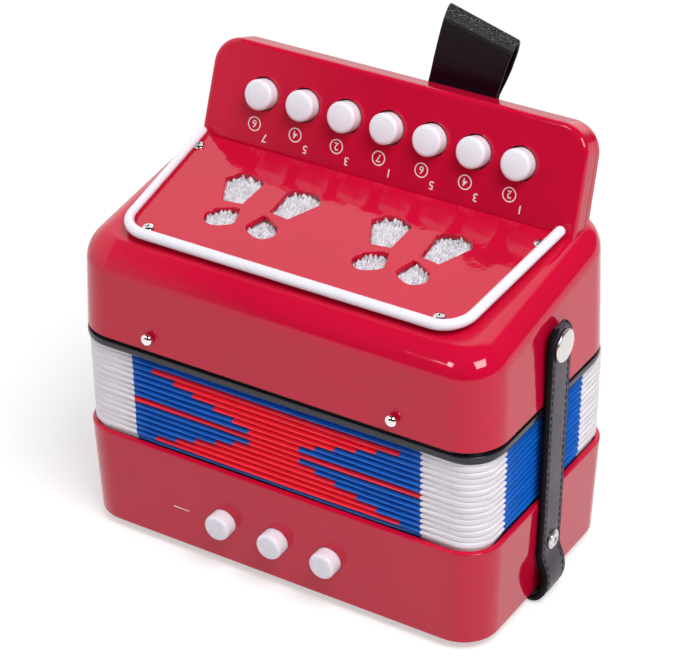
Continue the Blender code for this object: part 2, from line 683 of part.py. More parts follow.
def treble_lever(finishes):
    """Bell-crank lever: an upright arm behind its button, a hub, and a pallet on the reed pan."""
    axle = TREBLE_AXLE
    top = PANEL @ Vector((0, BUTTON_UP + BUTTON_PEG_RADIUS + GAP, -TREBLE_AXLE_BACK))
    pallet_z = TREBLE_PAN_Z + PAN_THICKNESS + GAP
    pallet_y = BODY_Y + TREBLE_PALLET_Y
    arm_z = pallet_z + PALLET_THICKNESS
    heel = (pallet_y + PALLET_LENGTH / 2, arm_z)
    upper = thick_path([(axle.y, axle.z), (top.y, top.z)], LEVER_THICKNESS)
    lower = thick_path([(axle.y, axle.z), heel, (pallet_y - PALLET_LENGTH / 4, arm_z)], LEVER_THICKNESS)
    half = LEVER_WIDTH / 2
    lever = new_object("treble_lever_1", side_profile(upper, -half, half), finishes["pale"])
    add(lever, rod(HUB_RADIUS, (-HUB_WIDTH / 2, axle.y, axle.z), (HUB_WIDTH / 2, axle.y, axle.z), 12))
    add(lever, side_profile(lower, -half, half))
    add(lever, block((-PALLET_WIDTH / 2, pallet_y - PALLET_LENGTH / 2, pallet_z),
                     (PALLET_WIDTH / 2, pallet_y + PALLET_LENGTH / 2, pallet_z + PALLET_THICKNESS)))
    add(lever, rod(BUTTON_PEG_RADIUS, PANEL @ Vector((0, BUTTON_UP, -TREBLE_AXLE_BACK)),
                   PANEL @ Vector((0, BUTTON_UP, -BUTTON_TAIL + 0.0020)), 8))
    cut(lever, rod(AXLE_RADIUS + GAP, (-HUB_WIDTH, axle.y, axle.z), (HUB_WIDTH, axle.y, axle.z), 10))
    return lever


def spring_sleeve(key_x, pitch, post_width, axle):
    """Close-wound coil from a lever's hub to the post beside it: a turned sleeve with a swell for each turn."""
    inner = AXLE_RADIUS + GAP
    start = key_x + HUB_WIDTH / 2 + GAP
    length = pitch / 2 - post_width / 4 - HUB_WIDTH / 2 - GAP
    profile = [(inner, 0)]
    for turn in range(SPRING_TURNS):
        for part in (0.0, 0.5):
            radius = SPRING_RADIUS if part else SPRING_RADIUS - 0.0004
            profile.append((radius, length * (turn + part) / SPRING_TURNS))
    profile += [(SPRING_RADIUS - 0.0004, length), (inner, length)]
    return lathe(profile, 8, along((start, axle.y, axle.z), (start + 1, axle.y, axle.z)))


def make_treble_action(finishes):
    button_mesh = treble_button_mesh()
    button = new_object("treble_button_1", button_mesh, finishes["white"])
    lever = treble_lever(finishes)
    axle = TREBLE_AXLE
    for thing, stem in ((button, "treble_button"), (lever, "treble_lever")):
        hang(thing, axle)
        repeat(thing, [f"{stem}_{number}" for number in range(1, TREBLE_KEYS + 1)], KEY_XS)

    low = KEY_XS[0] - KEY_PITCH / 2 - RAIL_POST_WIDTH
    high = KEY_XS[-1] + KEY_PITCH / 2 + RAIL_POST_WIDTH
    new_object("treble_axle", rod(AXLE_RADIUS, (low, axle.y, axle.z), (high, axle.y, axle.z), 12),
               finishes["steel"])

    base_z = TREBLE_PAN_Z + PAN_THICKNESS + GAP
    half = RAIL_DEPTH / 2
    rail = new_object("treble_pivot_rail", block((low, axle.y - half, base_z),
                                                 (high, axle.y + half, base_z + RAIL_BASE_THICKNESS)), finishes["pale"])
    top = axle.z + HUB_RADIUS
    posts = []
    for number in range(TREBLE_KEYS + 1):
        x = KEY_XS[0] + (number - 0.5) * KEY_PITCH
        outline = [(axle.y - half, base_z + RAIL_BASE_THICKNESS / 2), (axle.y + half, base_z + RAIL_BASE_THICKNESS / 2),
                   (axle.y + HUB_RADIUS, top), (axle.y - HUB_RADIUS, top)]
        posts.append(side_profile(outline, x - RAIL_POST_WIDTH / 2, x + RAIL_POST_WIDTH / 2))
    add(rail, *posts)
    add(rail, *[spring_sleeve(x, KEY_PITCH, RAIL_POST_WIDTH, axle) for x in KEY_XS])
    cut(rail, rod(AXLE_RADIUS + GAP, (2 * low, axle.y, axle.z), (2 * high, axle.y, axle.z), 10))

    pan_top = TREBLE_PAN_Z + PAN_THICKNESS
    clear = TREBLE_WALL + GAP
    pan = loft([treble_loop(clear, pan_top, TREBLE_PAN_Z), treble_loop(clear, pan_top)])
    pan = new_object("treble_reed_pan", pan, finishes["pale"])
    cut(pan, *[pan_hole(x, BODY_Y + TREBLE_PALLET_Y, TREBLE_PAN_Z) for x in KEY_XS])
    make_reeds("treble", finishes, KEY_XS, BODY_Y + TREBLE_PALLET_Y, TREBLE_PAN_Z, -1)


def level_plate(width, depth, radius, low, high):
    """A flat round-cornered plate around the body's middle."""
    return loft([level_loop(width, depth, radius, low), level_loop(width, depth, radius, high)])


def pan_hole(x, y, pan_z):
    """Air hole under one pallet."""
    return block((x - PALLET_HOLE_WIDTH / 2, y - PALLET_HOLE_LENGTH / 2, pan_z - PAN_THICKNESS),
                 (x + PALLET_HOLE_WIDTH / 2, y + PALLET_HOLE_LENGTH / 2, pan_z + 2 * PAN_THICKNESS))


def make_reeds(end, finishes, xs, y, pan_z, side):
    """Brass reed plate on the bellows side of a pan, with two tongues for each note."""
    thickness = REED_PLATE_THICKNESS
    face = pan_z - GAP if side < 0 else pan_z + PAN_THICKNESS + GAP
    low, high = sorted((face, face + side * thickness))
    margin = PALLET_WIDTH / 2
    plate = block((xs[0] - margin, y - REED_PLATE_DEPTH / 2, low),
                  (xs[-1] + margin, y + REED_PLATE_DEPTH / 2, high))
    plate = new_object(f"{end}_reed_plate", plate, finishes["brass"])
    slots, tongues = [], []
    for x in xs:
        for row in (-1, 1):
            middle = y + row * REED_PLATE_DEPTH / 4
            slots.append(block((x - REED_SLOT_WIDTH / 2, middle - REED_SLOT_LENGTH / 2, low - thickness),
                               (x + REED_SLOT_WIDTH / 2, middle + REED_SLOT_LENGTH / 2, high + thickness)))
            near, far = sorted((face + side * (thickness - GAP / 3), face + side * (thickness + REED_THICKNESS)))
            inset = REED_SLOT_WIDTH / 2 - GAP
            tongues.append(block((x - inset, middle - REED_SLOT_LENGTH / 2 - 2 * thickness, near),
                                 (x + inset, middle + REED_SLOT_LENGTH / 2 - GAP, far)))
    cut(plate, *slots)
    add(plate, *tongues)


# --- bellows and their frames ------------------------------------------------------------------------------
def pin_lines(inward, outward):
    """Start and end of each bellows pin's line, from inside the wall to outside it."""
    z = MOUTH_Z + PIN_ABOVE_MOUTH
    face = BODY_DEPTH / 2 - TREBLE_DRAFT * (z - MOUTH_Z) / (CREASE.z - MOUTH_Z)
    return [((x, BODY_Y + side * (face - inward), z), (x, BODY_Y + side * (face + outward), z))
            for side in (-1, 1) for x in (-PIN_X, PIN_X)]


def make_frames(finishes):
    """Black treble frame with a flange under the casing and a spigot inside it, and the bass frame."""
    groove = MOUTH_Z - GAP - FLANGE_GROOVE
    neck = FLANGE_INSET + FLANGE_GROOVE_DEPTH
    flange = loft([treble_loop(FLANGE_INSET, MOUTH_Z, FLANGE_BOTTOM_Z), treble_loop(FLANGE_INSET, MOUTH_Z, groove),
                   treble_loop(neck, MOUTH_Z, groove), treble_loop(neck, MOUTH_Z, MOUTH_Z - GAP)])
    frame = new_object("treble_bellows_frame", flange, finishes["black"])
    clear = TREBLE_WALL + GAP
    add(frame, loft([treble_loop(clear, SPIGOT_TOP_Z, groove - FLANGE_GROOVE / 2),
                     treble_loop(clear, SPIGOT_TOP_Z)]))
    cut(frame, airway(FLANGE_BOTTOM_Z - FLANGE_HEIGHT, SPIGOT_TOP_Z + FLANGE_HEIGHT))
    depth = 2.2 * TREBLE_WALL + PIN_PROUD
    cut(frame, *[rod(SCREW_SHANK_RADIUS + GAP, start, end, 10) for start, end in pin_lines(depth, TREBLE_WALL)])

    pins = []
    for (start, end) in pin_lines(0, 1):
        profile = [(0, -depth + TREBLE_WALL), (SCREW_SHANK_RADIUS, -depth + TREBLE_WALL),
                   (SCREW_SHANK_RADIUS, PIN_HEAD_LIFT), (PIN_HEAD_RADIUS, PIN_HEAD_LIFT),
                   (PIN_HEAD_RADIUS, PIN_HEAD_LIFT + 0.0006), (PIN_HEAD_RADIUS * 0.8, PIN_PROUD - 0.0006),
                   (PIN_HEAD_RADIUS * 0.4, PIN_PROUD - 0.0001), (0, PIN_PROUD)]
        pins.append(lathe(profile, 12, along(start, end)))
    new_set("bellows_pin", pins, finishes["nickel"])

    clear = BASS_WALL + GAP + BASS_DRAFT * (RIM_Z - BASS_FRAME_Z) / BASS_HEIGHT
    ring = level_plate(BODY_WIDTH - 2 * clear, BODY_DEPTH - 2 * clear, BASS_CORNER_RADIUS - clear,
                       BASS_FRAME_Z, BASS_FRAME_TOP_Z)
    frame = new_object("bass_bellows_frame", ring, finishes["black"])
    cut(frame, airway(BASS_FRAME_Z - FLANGE_HEIGHT, RIM_Z))


def airway(low, high):
    """The clear way for air through the frames and folds."""
    return level_plate(AIRWAY_WIDTH, AIRWAY_DEPTH, AIRWAY_CORNER_RADIUS, low, high)


def make_bellows(finishes):
    """Pleated sleeve in stacked folds of a few ridges each."""
    for number in range(RIDGE_COUNT // RIDGES_PER_FOLD):
        low = BELLOWS_BOTTOM_Z + number * RIDGES_PER_FOLD * RIDGE_PITCH
        high = low + RIDGES_PER_FOLD * RIDGE_PITCH - (GAP if number < RIDGE_COUNT // RIDGES_PER_FOLD - 1 else 0)
        step = (high - low) / (2 * RIDGES_PER_FOLD)
        loops = []
        for crest in range(2 * RIDGES_PER_FOLD + 1):
            z = low + crest * step
            inset = 0 if crest % 2 else RIDGE_DEPTH
            inset -= BELLOWS_FLARE * (z - BELLOWS_BOTTOM_Z) / (BELLOWS_TOP_Z - BELLOWS_BOTTOM_Z)
            loops.append(level_loop(BELLOWS_WIDTH - 2 * inset, BELLOWS_DEPTH - 2 * inset,
                                    BELLOWS_CORNER_RADIUS - inset, z))
        for z in (high, low):
            loops.append(level_loop(AIRWAY_WIDTH, AIRWAY_DEPTH, AIRWAY_CORNER_RADIUS, z))
        new_object(f"bellows_fold_{number + 1}", loft(loops, closed_ends=False), finishes["blue_cloth"], 20)


# --- bass end ----------------------------------------------------------------------------------------------
def make_bass_casing(finishes):
    """Open-topped tub with moulded feet, button holes, sound slots, pan posts and axle posts."""
    def tub(inset, low, high):
        loops = []
        for z in (low, high):
            shrink = BASS_DRAFT * (RIM_Z - z) / BASS_HEIGHT + inset
            loops.append(level_loop(BODY_WIDTH - 2 * shrink, BODY_DEPTH - 2 * shrink,
                                    BASS_CORNER_RADIUS - inset, z))
        return loft(loops)

    casing = new_object("bass_casing", tub(0, FLOOR_OF_BASS, RIM_Z), finishes["red"])
    inside = FLOOR_OF_BASS + BASS_WALL
    cut(casing, tub(BASS_WALL, inside, RIM_Z + BASS_WALL))
    half_width = bass_half_width(inside) - BASS_WALL
    half_depth = half_width - (BODY_WIDTH - BODY_DEPTH) / 2
    posts = []
    for sx in (-1, 1):
        for sy in (-1, 1):
            x = sx * (half_width - PAN_POST_INSET)
            y = BODY_Y + sy * (half_depth - PAN_POST_INSET)
            posts.append(rod(PAN_POST_RADIUS, (x, y, inside - BASS_WALL / 2), (x, y, BASS_PAN_Z - GAP), 12))
            x = sx * (BODY_WIDTH / 2 - FOOT_INSET)
            y = BODY_Y + sy * (BODY_DEPTH / 2 - FOOT_INSET)
            posts.append(rod(FOOT_RADIUS, (x, y, 0), (x, y, FLOOR_OF_BASS + BASS_WALL / 2), 16))
    for number in range(len(BASS_KEY_XS) + 1):
        x = BASS_KEY_XS[0] + (number - 0.5) * BASS_KEY_PITCH
        top = BASS_AXLE.z + HUB_RADIUS
        outline = [(BASS_AXLE.y - HUB_RADIUS, inside - BASS_WALL / 2),
                   (BASS_AXLE.y + HUB_RADIUS, inside - BASS_WALL / 2),
                   (BASS_AXLE.y + HUB_RADIUS, top), (BASS_AXLE.y - HUB_RADIUS, top)]
        posts.append(side_profile(outline, x - BASS_POST_WIDTH / 2, x + BASS_POST_WIDTH / 2))
    add(casing, *posts)
    add(casing, *[spring_sleeve(x, BASS_KEY_PITCH, BASS_POST_WIDTH, BASS_AXLE) for x in BASS_KEY_XS])
    reach = BASS_KEY_XS[-1] + BASS_KEY_PITCH
    cut(casing, rod(AXLE_RADIUS + GAP, (-reach, BASS_AXLE.y, BASS_AXLE.z), (reach, BASS_AXLE.y, BASS_AXLE.z), 12))
    holes = []
    front = bass_front_y(BASS_BUTTON_Z)
    for x in BASS_KEY_XS:
        holes.append(rod(BASS_BUTTON_RADIUS + GAP, (x, front - BASS_WALL, BASS_BUTTON_Z),
                         (x, front + 2 * BASS_WALL, BASS_BUTTON_Z), 16))
    for number in range(BASS_SLOT_COUNT):
        x = (number - (BASS_SLOT_COUNT - 1) / 2) * BASS_SLOT_PITCH
        y = BODY_Y + BODY_DEPTH / 4
        holes.append(block((x - BASS_SLOT_WIDTH / 2, y - BASS_SLOT_LENGTH / 2, 0),
                           (x + BASS_SLOT_WIDTH / 2, y + BASS_SLOT_LENGTH / 2, inside + BASS_WALL)))
    for side in (-1, 1):
        x = bass_half_width(STRAP_SCREW_Z)
        y = BODY_Y + STRAP_Y
        holes.append(rod(SCREW_SHANK_RADIUS + GAP, (side * (x - 2 * BASS_WALL), y, STRAP_SCREW_Z),
                         (side * (x + BASS_WALL), y, STRAP_SCREW_Z), 10))
    cut(casing, *holes)


def make_bass_action(finishes):
    front = bass_front_y(BASS_BUTTON_Z)
    flange = front + BASS_WALL + GAP
    profile = [(0, 0), (BASS_STEM_RADIUS, 0)]
    stem = front + BASS_WALL + BASS_STEM_END - GAP
    profile += [(BASS_STEM_RADIUS, stem - flange - BASS_FLANGE_THICKNESS),
                (BASS_FLANGE_RADIUS, stem - flange - BASS_FLANGE_THICKNESS),
                (BASS_FLANGE_RADIUS, stem - flange), (BASS_BUTTON_RADIUS, stem - flange)]
    tip = stem - front + BASS_BUTTON_PROUD
    profile += [(BASS_BUTTON_RADIUS, tip - 0.0009), (BASS_BUTTON_RADIUS - 0.0009, tip), (0, tip)]
    button = new_object("air_button", lathe(profile, 16, along((0, stem, BASS_BUTTON_Z),
                                                               (0, stem - 1, BASS_BUTTON_Z))), finishes["white"])
    hang(button, (0, stem, BASS_BUTTON_Z))
    repeat(button, ("air_button", "bass_button_1", "bass_button_2"), BASS_KEY_XS)

    axle = BASS_AXLE
    pallet_top = BASS_PAN_Z - GAP
    pallet_y = axle.y + BASS_PALLET_REACH
    arm_z = pallet_top - PALLET_THICKNESS
    nose_y = stem + GAP + LEVER_THICKNESS / 2
    upright = thick_path([(axle.y, axle.z), (nose_y + LEVER_THICKNESS / 2, BASS_BUTTON_Z - HUB_RADIUS),
                          (nose_y + LEVER_THICKNESS / 2, BASS_BUTTON_Z + BASS_STEM_RADIUS / 2)], LEVER_THICKNESS)
    arm = thick_path([(axle.y, axle.z), (pallet_y - PALLET_LENGTH / 2, arm_z - LEVER_THICKNESS / 4),
                      (pallet_y + PALLET_LENGTH / 4, arm_z - LEVER_THICKNESS / 4)], LEVER_THICKNESS)
    half = LEVER_WIDTH / 2
    lever = new_object("air_lever", side_profile(upright, -half, half), finishes["pale"])
    add(lever, rod(HUB_RADIUS, (-HUB_WIDTH / 2, axle.y, axle.z), (HUB_WIDTH / 2, axle.y, axle.z), 12))
    add(lever, side_profile(arm, -half, half))
    add(lever, block((-PALLET_WIDTH / 2, pallet_y - PALLET_LENGTH / 2, pallet_top - PALLET_THICKNESS),
                     (PALLET_WIDTH / 2, pallet_y + PALLET_LENGTH / 2, pallet_top)))
    add(lever, rod(LEVER_THICKNESS / 2, (-half, nose_y, BASS_BUTTON_Z), (half, nose_y, BASS_BUTTON_Z), 12))
    cut(lever, rod(AXLE_RADIUS + GAP, (-HUB_WIDTH, axle.y, axle.z), (HUB_WIDTH, axle.y, axle.z), 10))
    hang(lever, axle)
    repeat(lever, ("air_lever", "bass_lever_1", "bass_lever_2"), BASS_KEY_XS)

    low = BASS_KEY_XS[0] - BASS_KEY_PITCH / 2 - BASS_POST_WIDTH
    high = BASS_KEY_XS[-1] + BASS_KEY_PITCH / 2 + BASS_POST_WIDTH
    new_object("bass_axle", rod(AXLE_RADIUS, (low, axle.y, axle.z), (high, axle.y, axle.z), 12), finishes["steel"])

    clear = BASS_WALL + GAP + BASS_DRAFT * (RIM_Z - BASS_PAN_Z) / BASS_HEIGHT
    pan = level_plate(BODY_WIDTH - 2 * clear, BODY_DEPTH - 2 * clear, BASS_CORNER_RADIUS - clear, BASS_PAN_Z,
                      BASS_PAN_Z + PAN_THICKNESS)
    pan = new_object("bass_reed_pan", pan, finishes["pale"])
    cut(pan, *[pan_hole(x, pallet_y, BASS_PAN_Z) for x in BASS_KEY_XS])
    make_reeds("bass", finishes, BASS_KEY_XS[1:], pallet_y, BASS_PAN_Z, 1)


# --- straps and their fasteners ----------------------------------------------------------------------------
def strap_x(z):
    """Middle of the closing strap's thickness at a height: flat on the base, proud of the snap's stud."""
    foot = bass_half_width(STRAP_HINGE_Z) + GAP + STRAP_THICKNESS / 2
    head = treble_side_x(SNAP_Z) + 2 * GAP + SNAP_STUD_HEIGHT + STRAP_THICKNESS / 2
    return foot + (head - foot) * (z - STRAP_HINGE_Z) / (SNAP_Z - STRAP_HINGE_Z)


def bezier(points, steps):
    """Points on a cubic curve, without its first point."""
    a, b, c, d = (Vector(point) for point in points)
    curve = []
    for step in range(1, steps + 1):
        t = step / steps
        curve.append(tuple(a * (1 - t) ** 3 + b * 3 * t * (1 - t) ** 2 + c * 3 * t * t * (1 - t) + d * t ** 3))
    return curve


def make_hand_strap(finishes):
    """Band from screw to screw under the bass end, with its slack bulging a little at each side."""
    under = GAP + STRAP_THICKNESS / 2
    wall = bass_half_width(STRAP_SCREW_Z) + GAP + STRAP_THICKNESS / 2
    bend = STRAP_SCREW_Z - 1.1 * STRAP_SCREW_RADIUS
    tuck = bass_half_width(FLOOR_OF_BASS) - GAP
    top = STRAP_HINGE_Z - STRAP_THICKNESS / 2 - GAP
    belly = (wall + STRAP_BULGE, 0.5 * bend)
    right = [(strap_x(STRAP_HINGE_Z), top), (wall, bend)]
    right += bezier([(wall, bend), (wall, 0.8 * bend), (belly[0], 0.75 * bend), belly], 6)
    right += bezier([belly, (belly[0], 0.25 * bend), (tuck + STRAP_BULGE, under), (tuck, under)], 7)
    path = right + [(-x, z) for x, z in reversed(right)]
    outline = thick_path(path, STRAP_THICKNESS)
    y = BODY_Y + STRAP_Y
    frame = Matrix(((1, 0, 0, 0), (0, 0, 1, 0), (0, 1, 0, 0), (0, 0, 0, 1)))
    band = new_object("hand_strap", prism(outline, y - STRAP_WIDTH / 2, y + STRAP_WIDTH / 2, frame),
                      finishes["leather"])
    holes = []
    for side in (-1, 1):
        holes.append(rod(SCREW_SHANK_RADIUS + GAP, (side * (wall - STRAP_THICKNESS), y, STRAP_SCREW_Z),
                         (side * (wall + STRAP_THICKNESS), y, STRAP_SCREW_Z), 10))
    cut(band, *holes)


def make_closing_strap(finishes, side, name):
    """Strap that keeps the bellows shut: round end at its hinge line, clipped corners past the snap."""
    low = Vector((strap_x(STRAP_HINGE_Z), STRAP_HINGE_Z))
    high_z = SNAP_Z + STRAP_END_ABOVE_SNAP
    heading = (Vector((strap_x(high_z), high_z)) - low).normalized()
    normal = Vector((heading.y, -heading.x))
    end = low + heading * ((high_z - low.y) / heading.y)
    half = STRAP_THICKNESS / 2
    outline = [low + normal * half, end + normal * half, end - normal * half, low - normal * half]
    steps = 6
    for step in range(1, steps):
        spoke = Matrix.Rotation(math.pi * step / steps, 2) @ (-normal)
        outline.append(low + spoke * half)
    y = BODY_Y + STRAP_Y
    frame = Matrix(((side, 0, 0, 0), (0, 0, 1, 0), (0, 1, 0, 0), (0, 0, 0, 1)))
    band = new_object(name, prism([tuple(p) for p in outline], y - STRAP_WIDTH / 2, y + STRAP_WIDTH / 2, frame),
                      finishes["leather"])
    clips = []
    for edge in (-1, 1):
        corner = (y + edge * (STRAP_WIDTH / 2 + GAP), high_z + GAP)
        reach = STRAP_END_CHAMFER + GAP
        triangle = [corner, (corner[0] - edge * reach, corner[1]), (corner[0], corner[1] - reach)]
        clips.append(side_profile(triangle, side * (low.x - STRAP_BULGE), side * (end.x + STRAP_BULGE)))
    cut(band, *clips)
    hinge = Vector((side * low.x, y, STRAP_HINGE_Z))
    hang(band, hinge)

    seat = Vector((side * strap_x(SNAP_Z), y, SNAP_Z))
    out = Vector((side * normal.x, 0, normal.y))
    cap_seat = seat + out * (half + GAP)
    thick = SNAP_CAP_THICKNESS
    profile = [(0, 0), (SNAP_CAP_RADIUS - 0.0006, 0), (SNAP_CAP_RADIUS, 0.0006),
               (SNAP_CAP_RADIUS, thick - 0.0007), (SNAP_CAP_RADIUS - 0.0008, thick - 0.0001), (0, thick)]
    cap = new_object(name.replace("closing_strap", "snap_cap"),
                     lathe(profile, 24, along(cap_seat, cap_seat + out)), finishes["nickel"])
    hang(cap, hinge)


def make_strap_fasteners(finishes):
    y = BODY_Y + STRAP_Y
    for side, name in ((1, "right"), (-1, "left")):
        face = side * (treble_side_x(SNAP_Z) + GAP)
        frame = along((face, y, SNAP_Z), (face + side, y, SNAP_Z))
        shank = TREBLE_WALL
        profile = [(0, -shank), (SCREW_SHANK_RADIUS, -shank), (SCREW_SHANK_RADIUS, 0), (SNAP_STUD_RADIUS, 0),
                   (SNAP_STUD_RADIUS, SNAP_STUD_HEIGHT / 2), (0.8 * SNAP_STUD_RADIUS, SNAP_STUD_HEIGHT),
                   (0, SNAP_STUD_HEIGHT)]
        new_object(f"snap_stud_{name}", lathe(profile, 16, frame), finishes["nickel"])
        seat = side * (bass_half_width(STRAP_SCREW_Z) + STRAP_THICKNESS + 2 * GAP)
        frame = along((seat, y, STRAP_SCREW_Z), (seat + side, y, STRAP_SCREW_Z))
        new_object(f"strap_screw_{name}",
                   screw(STRAP_SCREW_RADIUS, 2 * BASS_WALL + STRAP_THICKNESS, frame, washer=0.0007),
                   finishes["nickel"])


def make_thumb_strap(finishes):
    """Flattened leather loop that stands up from the back of the keyboard, its two tails screwed behind it."""
    thick = THUMB_STRAP_THICKNESS
    root = PANEL @ Vector((0, PANEL_RISE, -PANEL_THICKNESS - GAP - thick / 2))
    tail = PANEL @ Vector((0, PANEL_RISE - THUMB_STRAP_TAIL, -PANEL_THICKNESS - GAP - thick / 2))
    half = (THUMB_STRAP_SLACK + thick) / 2
    middle = Vector((0, root.y + half * 0.7, root.z + 0.35 * THUMB_STRAP_LOOP))
    top = root.z + THUMB_STRAP_LOOP
    tail_step = PANEL.to_3x3() @ Vector((0, 0, -thick - GAP))
    path = [(tail.y, tail.z), (root.y, root.z), (middle.y - half, middle.z), (middle.y - half, top - half)]
    for step in range(1, 6):
        angle = math.pi * step / 6
        path.append((middle.y - half * math.cos(angle), top - half + half * math.sin(angle)))
    path += [(middle.y + half, top - half), (middle.y + half, middle.z),
             (root.y + tail_step.y, root.z + tail_step.z), (tail.y + tail_step.y, tail.z + tail_step.z)]
    shape = side_profile(thick_path(path, thick), -THUMB_STRAP_WIDTH / 2, THUMB_STRAP_WIDTH / 2)
    for vert in shape.verts:
        share = max(0.0, (vert.co.z - root.z) / THUMB_STRAP_LOOP)
        vert.co.z -= THUMB_STRAP_SKEW * share * vert.co.x / THUMB_STRAP_WIDTH
        vert.co.x += THUMB_STRAP_X + THUMB_STRAP_LEAN * share
    strap = new_object("thumb_strap", shape, finishes["leather"])
    screws, holes = [], []
    for side in (-1, 1):
        x = THUMB_STRAP_X + side * THUMB_STRAP_WIDTH / 4
        place = (PANEL @ Matrix.Translation((x, PANEL_RISE - THUMB_STRAP_TAIL / 2, 0))
                 @ Matrix.Rotation(math.pi, 4, "Y"))
        deep = PANEL_THICKNESS + 3 * GAP + 2 * thick
        screws.append(screw(SMALL_SCREW_RADIUS, 3 * GAP + 2 * thick + COVER_SKIN / 2,
                            place @ Matrix.Translation((0, 0, deep))))
        holes.append(rod(SCREW_SHANK_RADIUS + GAP, place @ Vector((0, 0, PANEL_THICKNESS - 2 * thick)),
                         place @ Vector((0, 0, deep + thick)), 10))
    cut(strap, *[shape.copy() for shape in holes])
    cut(bpy.data.objects["keyboard_back_cover"], *holes)
    new_set("thumb_strap_screw", screws, finishes["nickel"])


def make_cover_screws(finishes):
    screws = []
    for x in (-COVER_SCREW_X, COVER_SCREW_X):
        place = PANEL @ Matrix.Translation((x, COVER_SCREW_UP, -PANEL_THICKNESS - GAP))
        screws.append(screw(SMALL_SCREW_RADIUS, COVER_THICKNESS + SHELL_DEPTH / 2,
                            place @ Matrix.Rotation(math.pi, 4, "Y")))
    new_set("cover_screw", screws, finishes["nickel"])


def main():
    for thing in list(bpy.data.objects):
        bpy.data.objects.remove(thing)
    finishes = make_finishes()
    make_treble_casing(finishes)
    make_back_cover(finishes)
    make_grille(finishes)
    make_treble_action(finishes)
    make_frames(finishes)
    make_bellows(finishes)
    make_bass_casing(finishes)
    make_bass_action(finishes)
    make_hand_strap(finishes)
    make_closing_strap(finishes, 1, "closing_strap_right")
    make_closing_strap(finishes, -1, "closing_strap_left")
    make_strap_fasteners(finishes)
    make_thumb_strap(finishes)
    make_cover_screws(finishes)


main()
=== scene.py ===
"""Looks of a small button accordion: casings, keyboard, grille, bellows, straps and fittings."""
import logging
import math
from collections.abc import Callable, Iterator, Sequence
from contextlib import contextmanager
from dataclasses import dataclass
from enum import Enum

import bmesh
import bpy
from mathutils import Matrix, Vector, noise


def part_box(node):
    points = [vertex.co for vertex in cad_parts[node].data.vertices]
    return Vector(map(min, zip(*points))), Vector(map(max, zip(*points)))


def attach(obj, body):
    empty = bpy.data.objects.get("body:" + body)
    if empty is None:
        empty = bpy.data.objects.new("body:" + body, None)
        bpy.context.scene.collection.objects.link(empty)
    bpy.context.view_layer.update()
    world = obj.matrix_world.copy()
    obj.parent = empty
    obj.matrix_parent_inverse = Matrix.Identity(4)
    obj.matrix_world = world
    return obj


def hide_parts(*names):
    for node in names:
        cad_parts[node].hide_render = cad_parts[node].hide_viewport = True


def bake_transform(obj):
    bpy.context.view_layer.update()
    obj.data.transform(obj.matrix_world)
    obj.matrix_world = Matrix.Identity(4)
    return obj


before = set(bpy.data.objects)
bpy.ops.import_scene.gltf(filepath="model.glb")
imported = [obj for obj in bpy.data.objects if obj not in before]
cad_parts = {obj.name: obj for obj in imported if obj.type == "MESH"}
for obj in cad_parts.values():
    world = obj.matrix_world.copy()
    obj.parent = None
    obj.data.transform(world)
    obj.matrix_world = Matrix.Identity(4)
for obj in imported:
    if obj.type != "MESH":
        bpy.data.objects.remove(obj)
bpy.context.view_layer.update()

LOG = logging.getLogger("accordion")
Piece = bpy.types.Object
Edge = bmesh.types.BMEdge
Socket = bpy.types.NodeSocket
Point = tuple[float, float]
Outline = Sequence[Point]
Spot = Sequence[float]
Colour = tuple[float, float, float]
NEAR = 1e-6
DOUBLED = 1e-7


# --- hand tools ---
class Joining(Enum):
    """How one solid is combined with another."""

    CUT = "DIFFERENCE"
    FUSE = "UNION"


def put_down() -> None:
    """Leaves edit mode and deselects everything."""
    if bpy.context.mode != "OBJECT":
        bpy.ops.object.mode_set(mode="OBJECT")
    bpy.ops.object.select_all(action="DESELECT")


def take(piece: Piece) -> None:
    """Makes a piece the only one in hand.

    Args:
        piece: The piece to select and make active.
    """
    put_down()
    piece.select_set(True)
    bpy.context.view_layer.objects.active = piece


def name_new(name: str) -> Piece:
    """Names the primitive that was just added and puts its place into its mesh.

    Args:
        name: The piece's name.

    Returns:
        The named piece.
    """
    piece = bpy.context.view_layer.objects.active
    piece.name = name
    piece.data.name = name
    bpy.ops.object.transform_apply(location=True, rotation=True, scale=True)
    return piece


def place(piece: Piece, where: Matrix) -> Piece:
    """Moves a piece's mesh by a matrix, so that its object stays at the origin.

    Args:
        piece: The piece to move.
        where: The matrix that its mesh takes.

    Returns:
        The same piece.
    """
    take(piece)
    piece.matrix_world = where
    bpy.ops.object.transform_apply(location=True, rotation=True, scale=True)
    return piece


@contextmanager
def shaping(piece: Piece, kind: str = "VERT") -> Iterator[None]:
    """Opens a piece in edit mode with nothing selected, and closes it again.

    Args:
        piece: The piece to shape.
        kind: VERT, EDGE or FACE.

    Returns:
        A context in which the piece is open.
    """
    take(piece)
    bpy.ops.object.mode_set(mode="EDIT")
    bpy.ops.mesh.select_mode(type=kind)
    bpy.ops.mesh.select_all(action="DESELECT")
    yield
    bpy.ops.object.mode_set(mode="OBJECT")


def pick(piece: Piece, kind: str, test: Callable[..., bool]) -> int:
    """Selects the vertices, edges or faces that pass a test, and nothing else.

    Args:
        piece: The piece that is open in edit mode.
        kind: VERT, EDGE or FACE.
        test: Says of one element whether it is wanted.

    Returns:
        How many elements are selected.
    """
    bpy.ops.mesh.select_mode(type=kind)
    bpy.ops.mesh.select_all(action="DESELECT")
    shape = bmesh.from_edit_mesh(piece.data)
    items = {"VERT": shape.verts, "EDGE": shape.edges, "FACE": shape.faces}[kind]
    wanted = [item for item in items if test(item)]
    for item in wanted:
        item.select_set(True)
    bmesh.update_edit_mesh(piece.data)
    return len(wanted)


def pick_all() -> None:
    """Selects the whole mesh that is open in edit mode."""
    bpy.ops.mesh.select_all(action="SELECT")


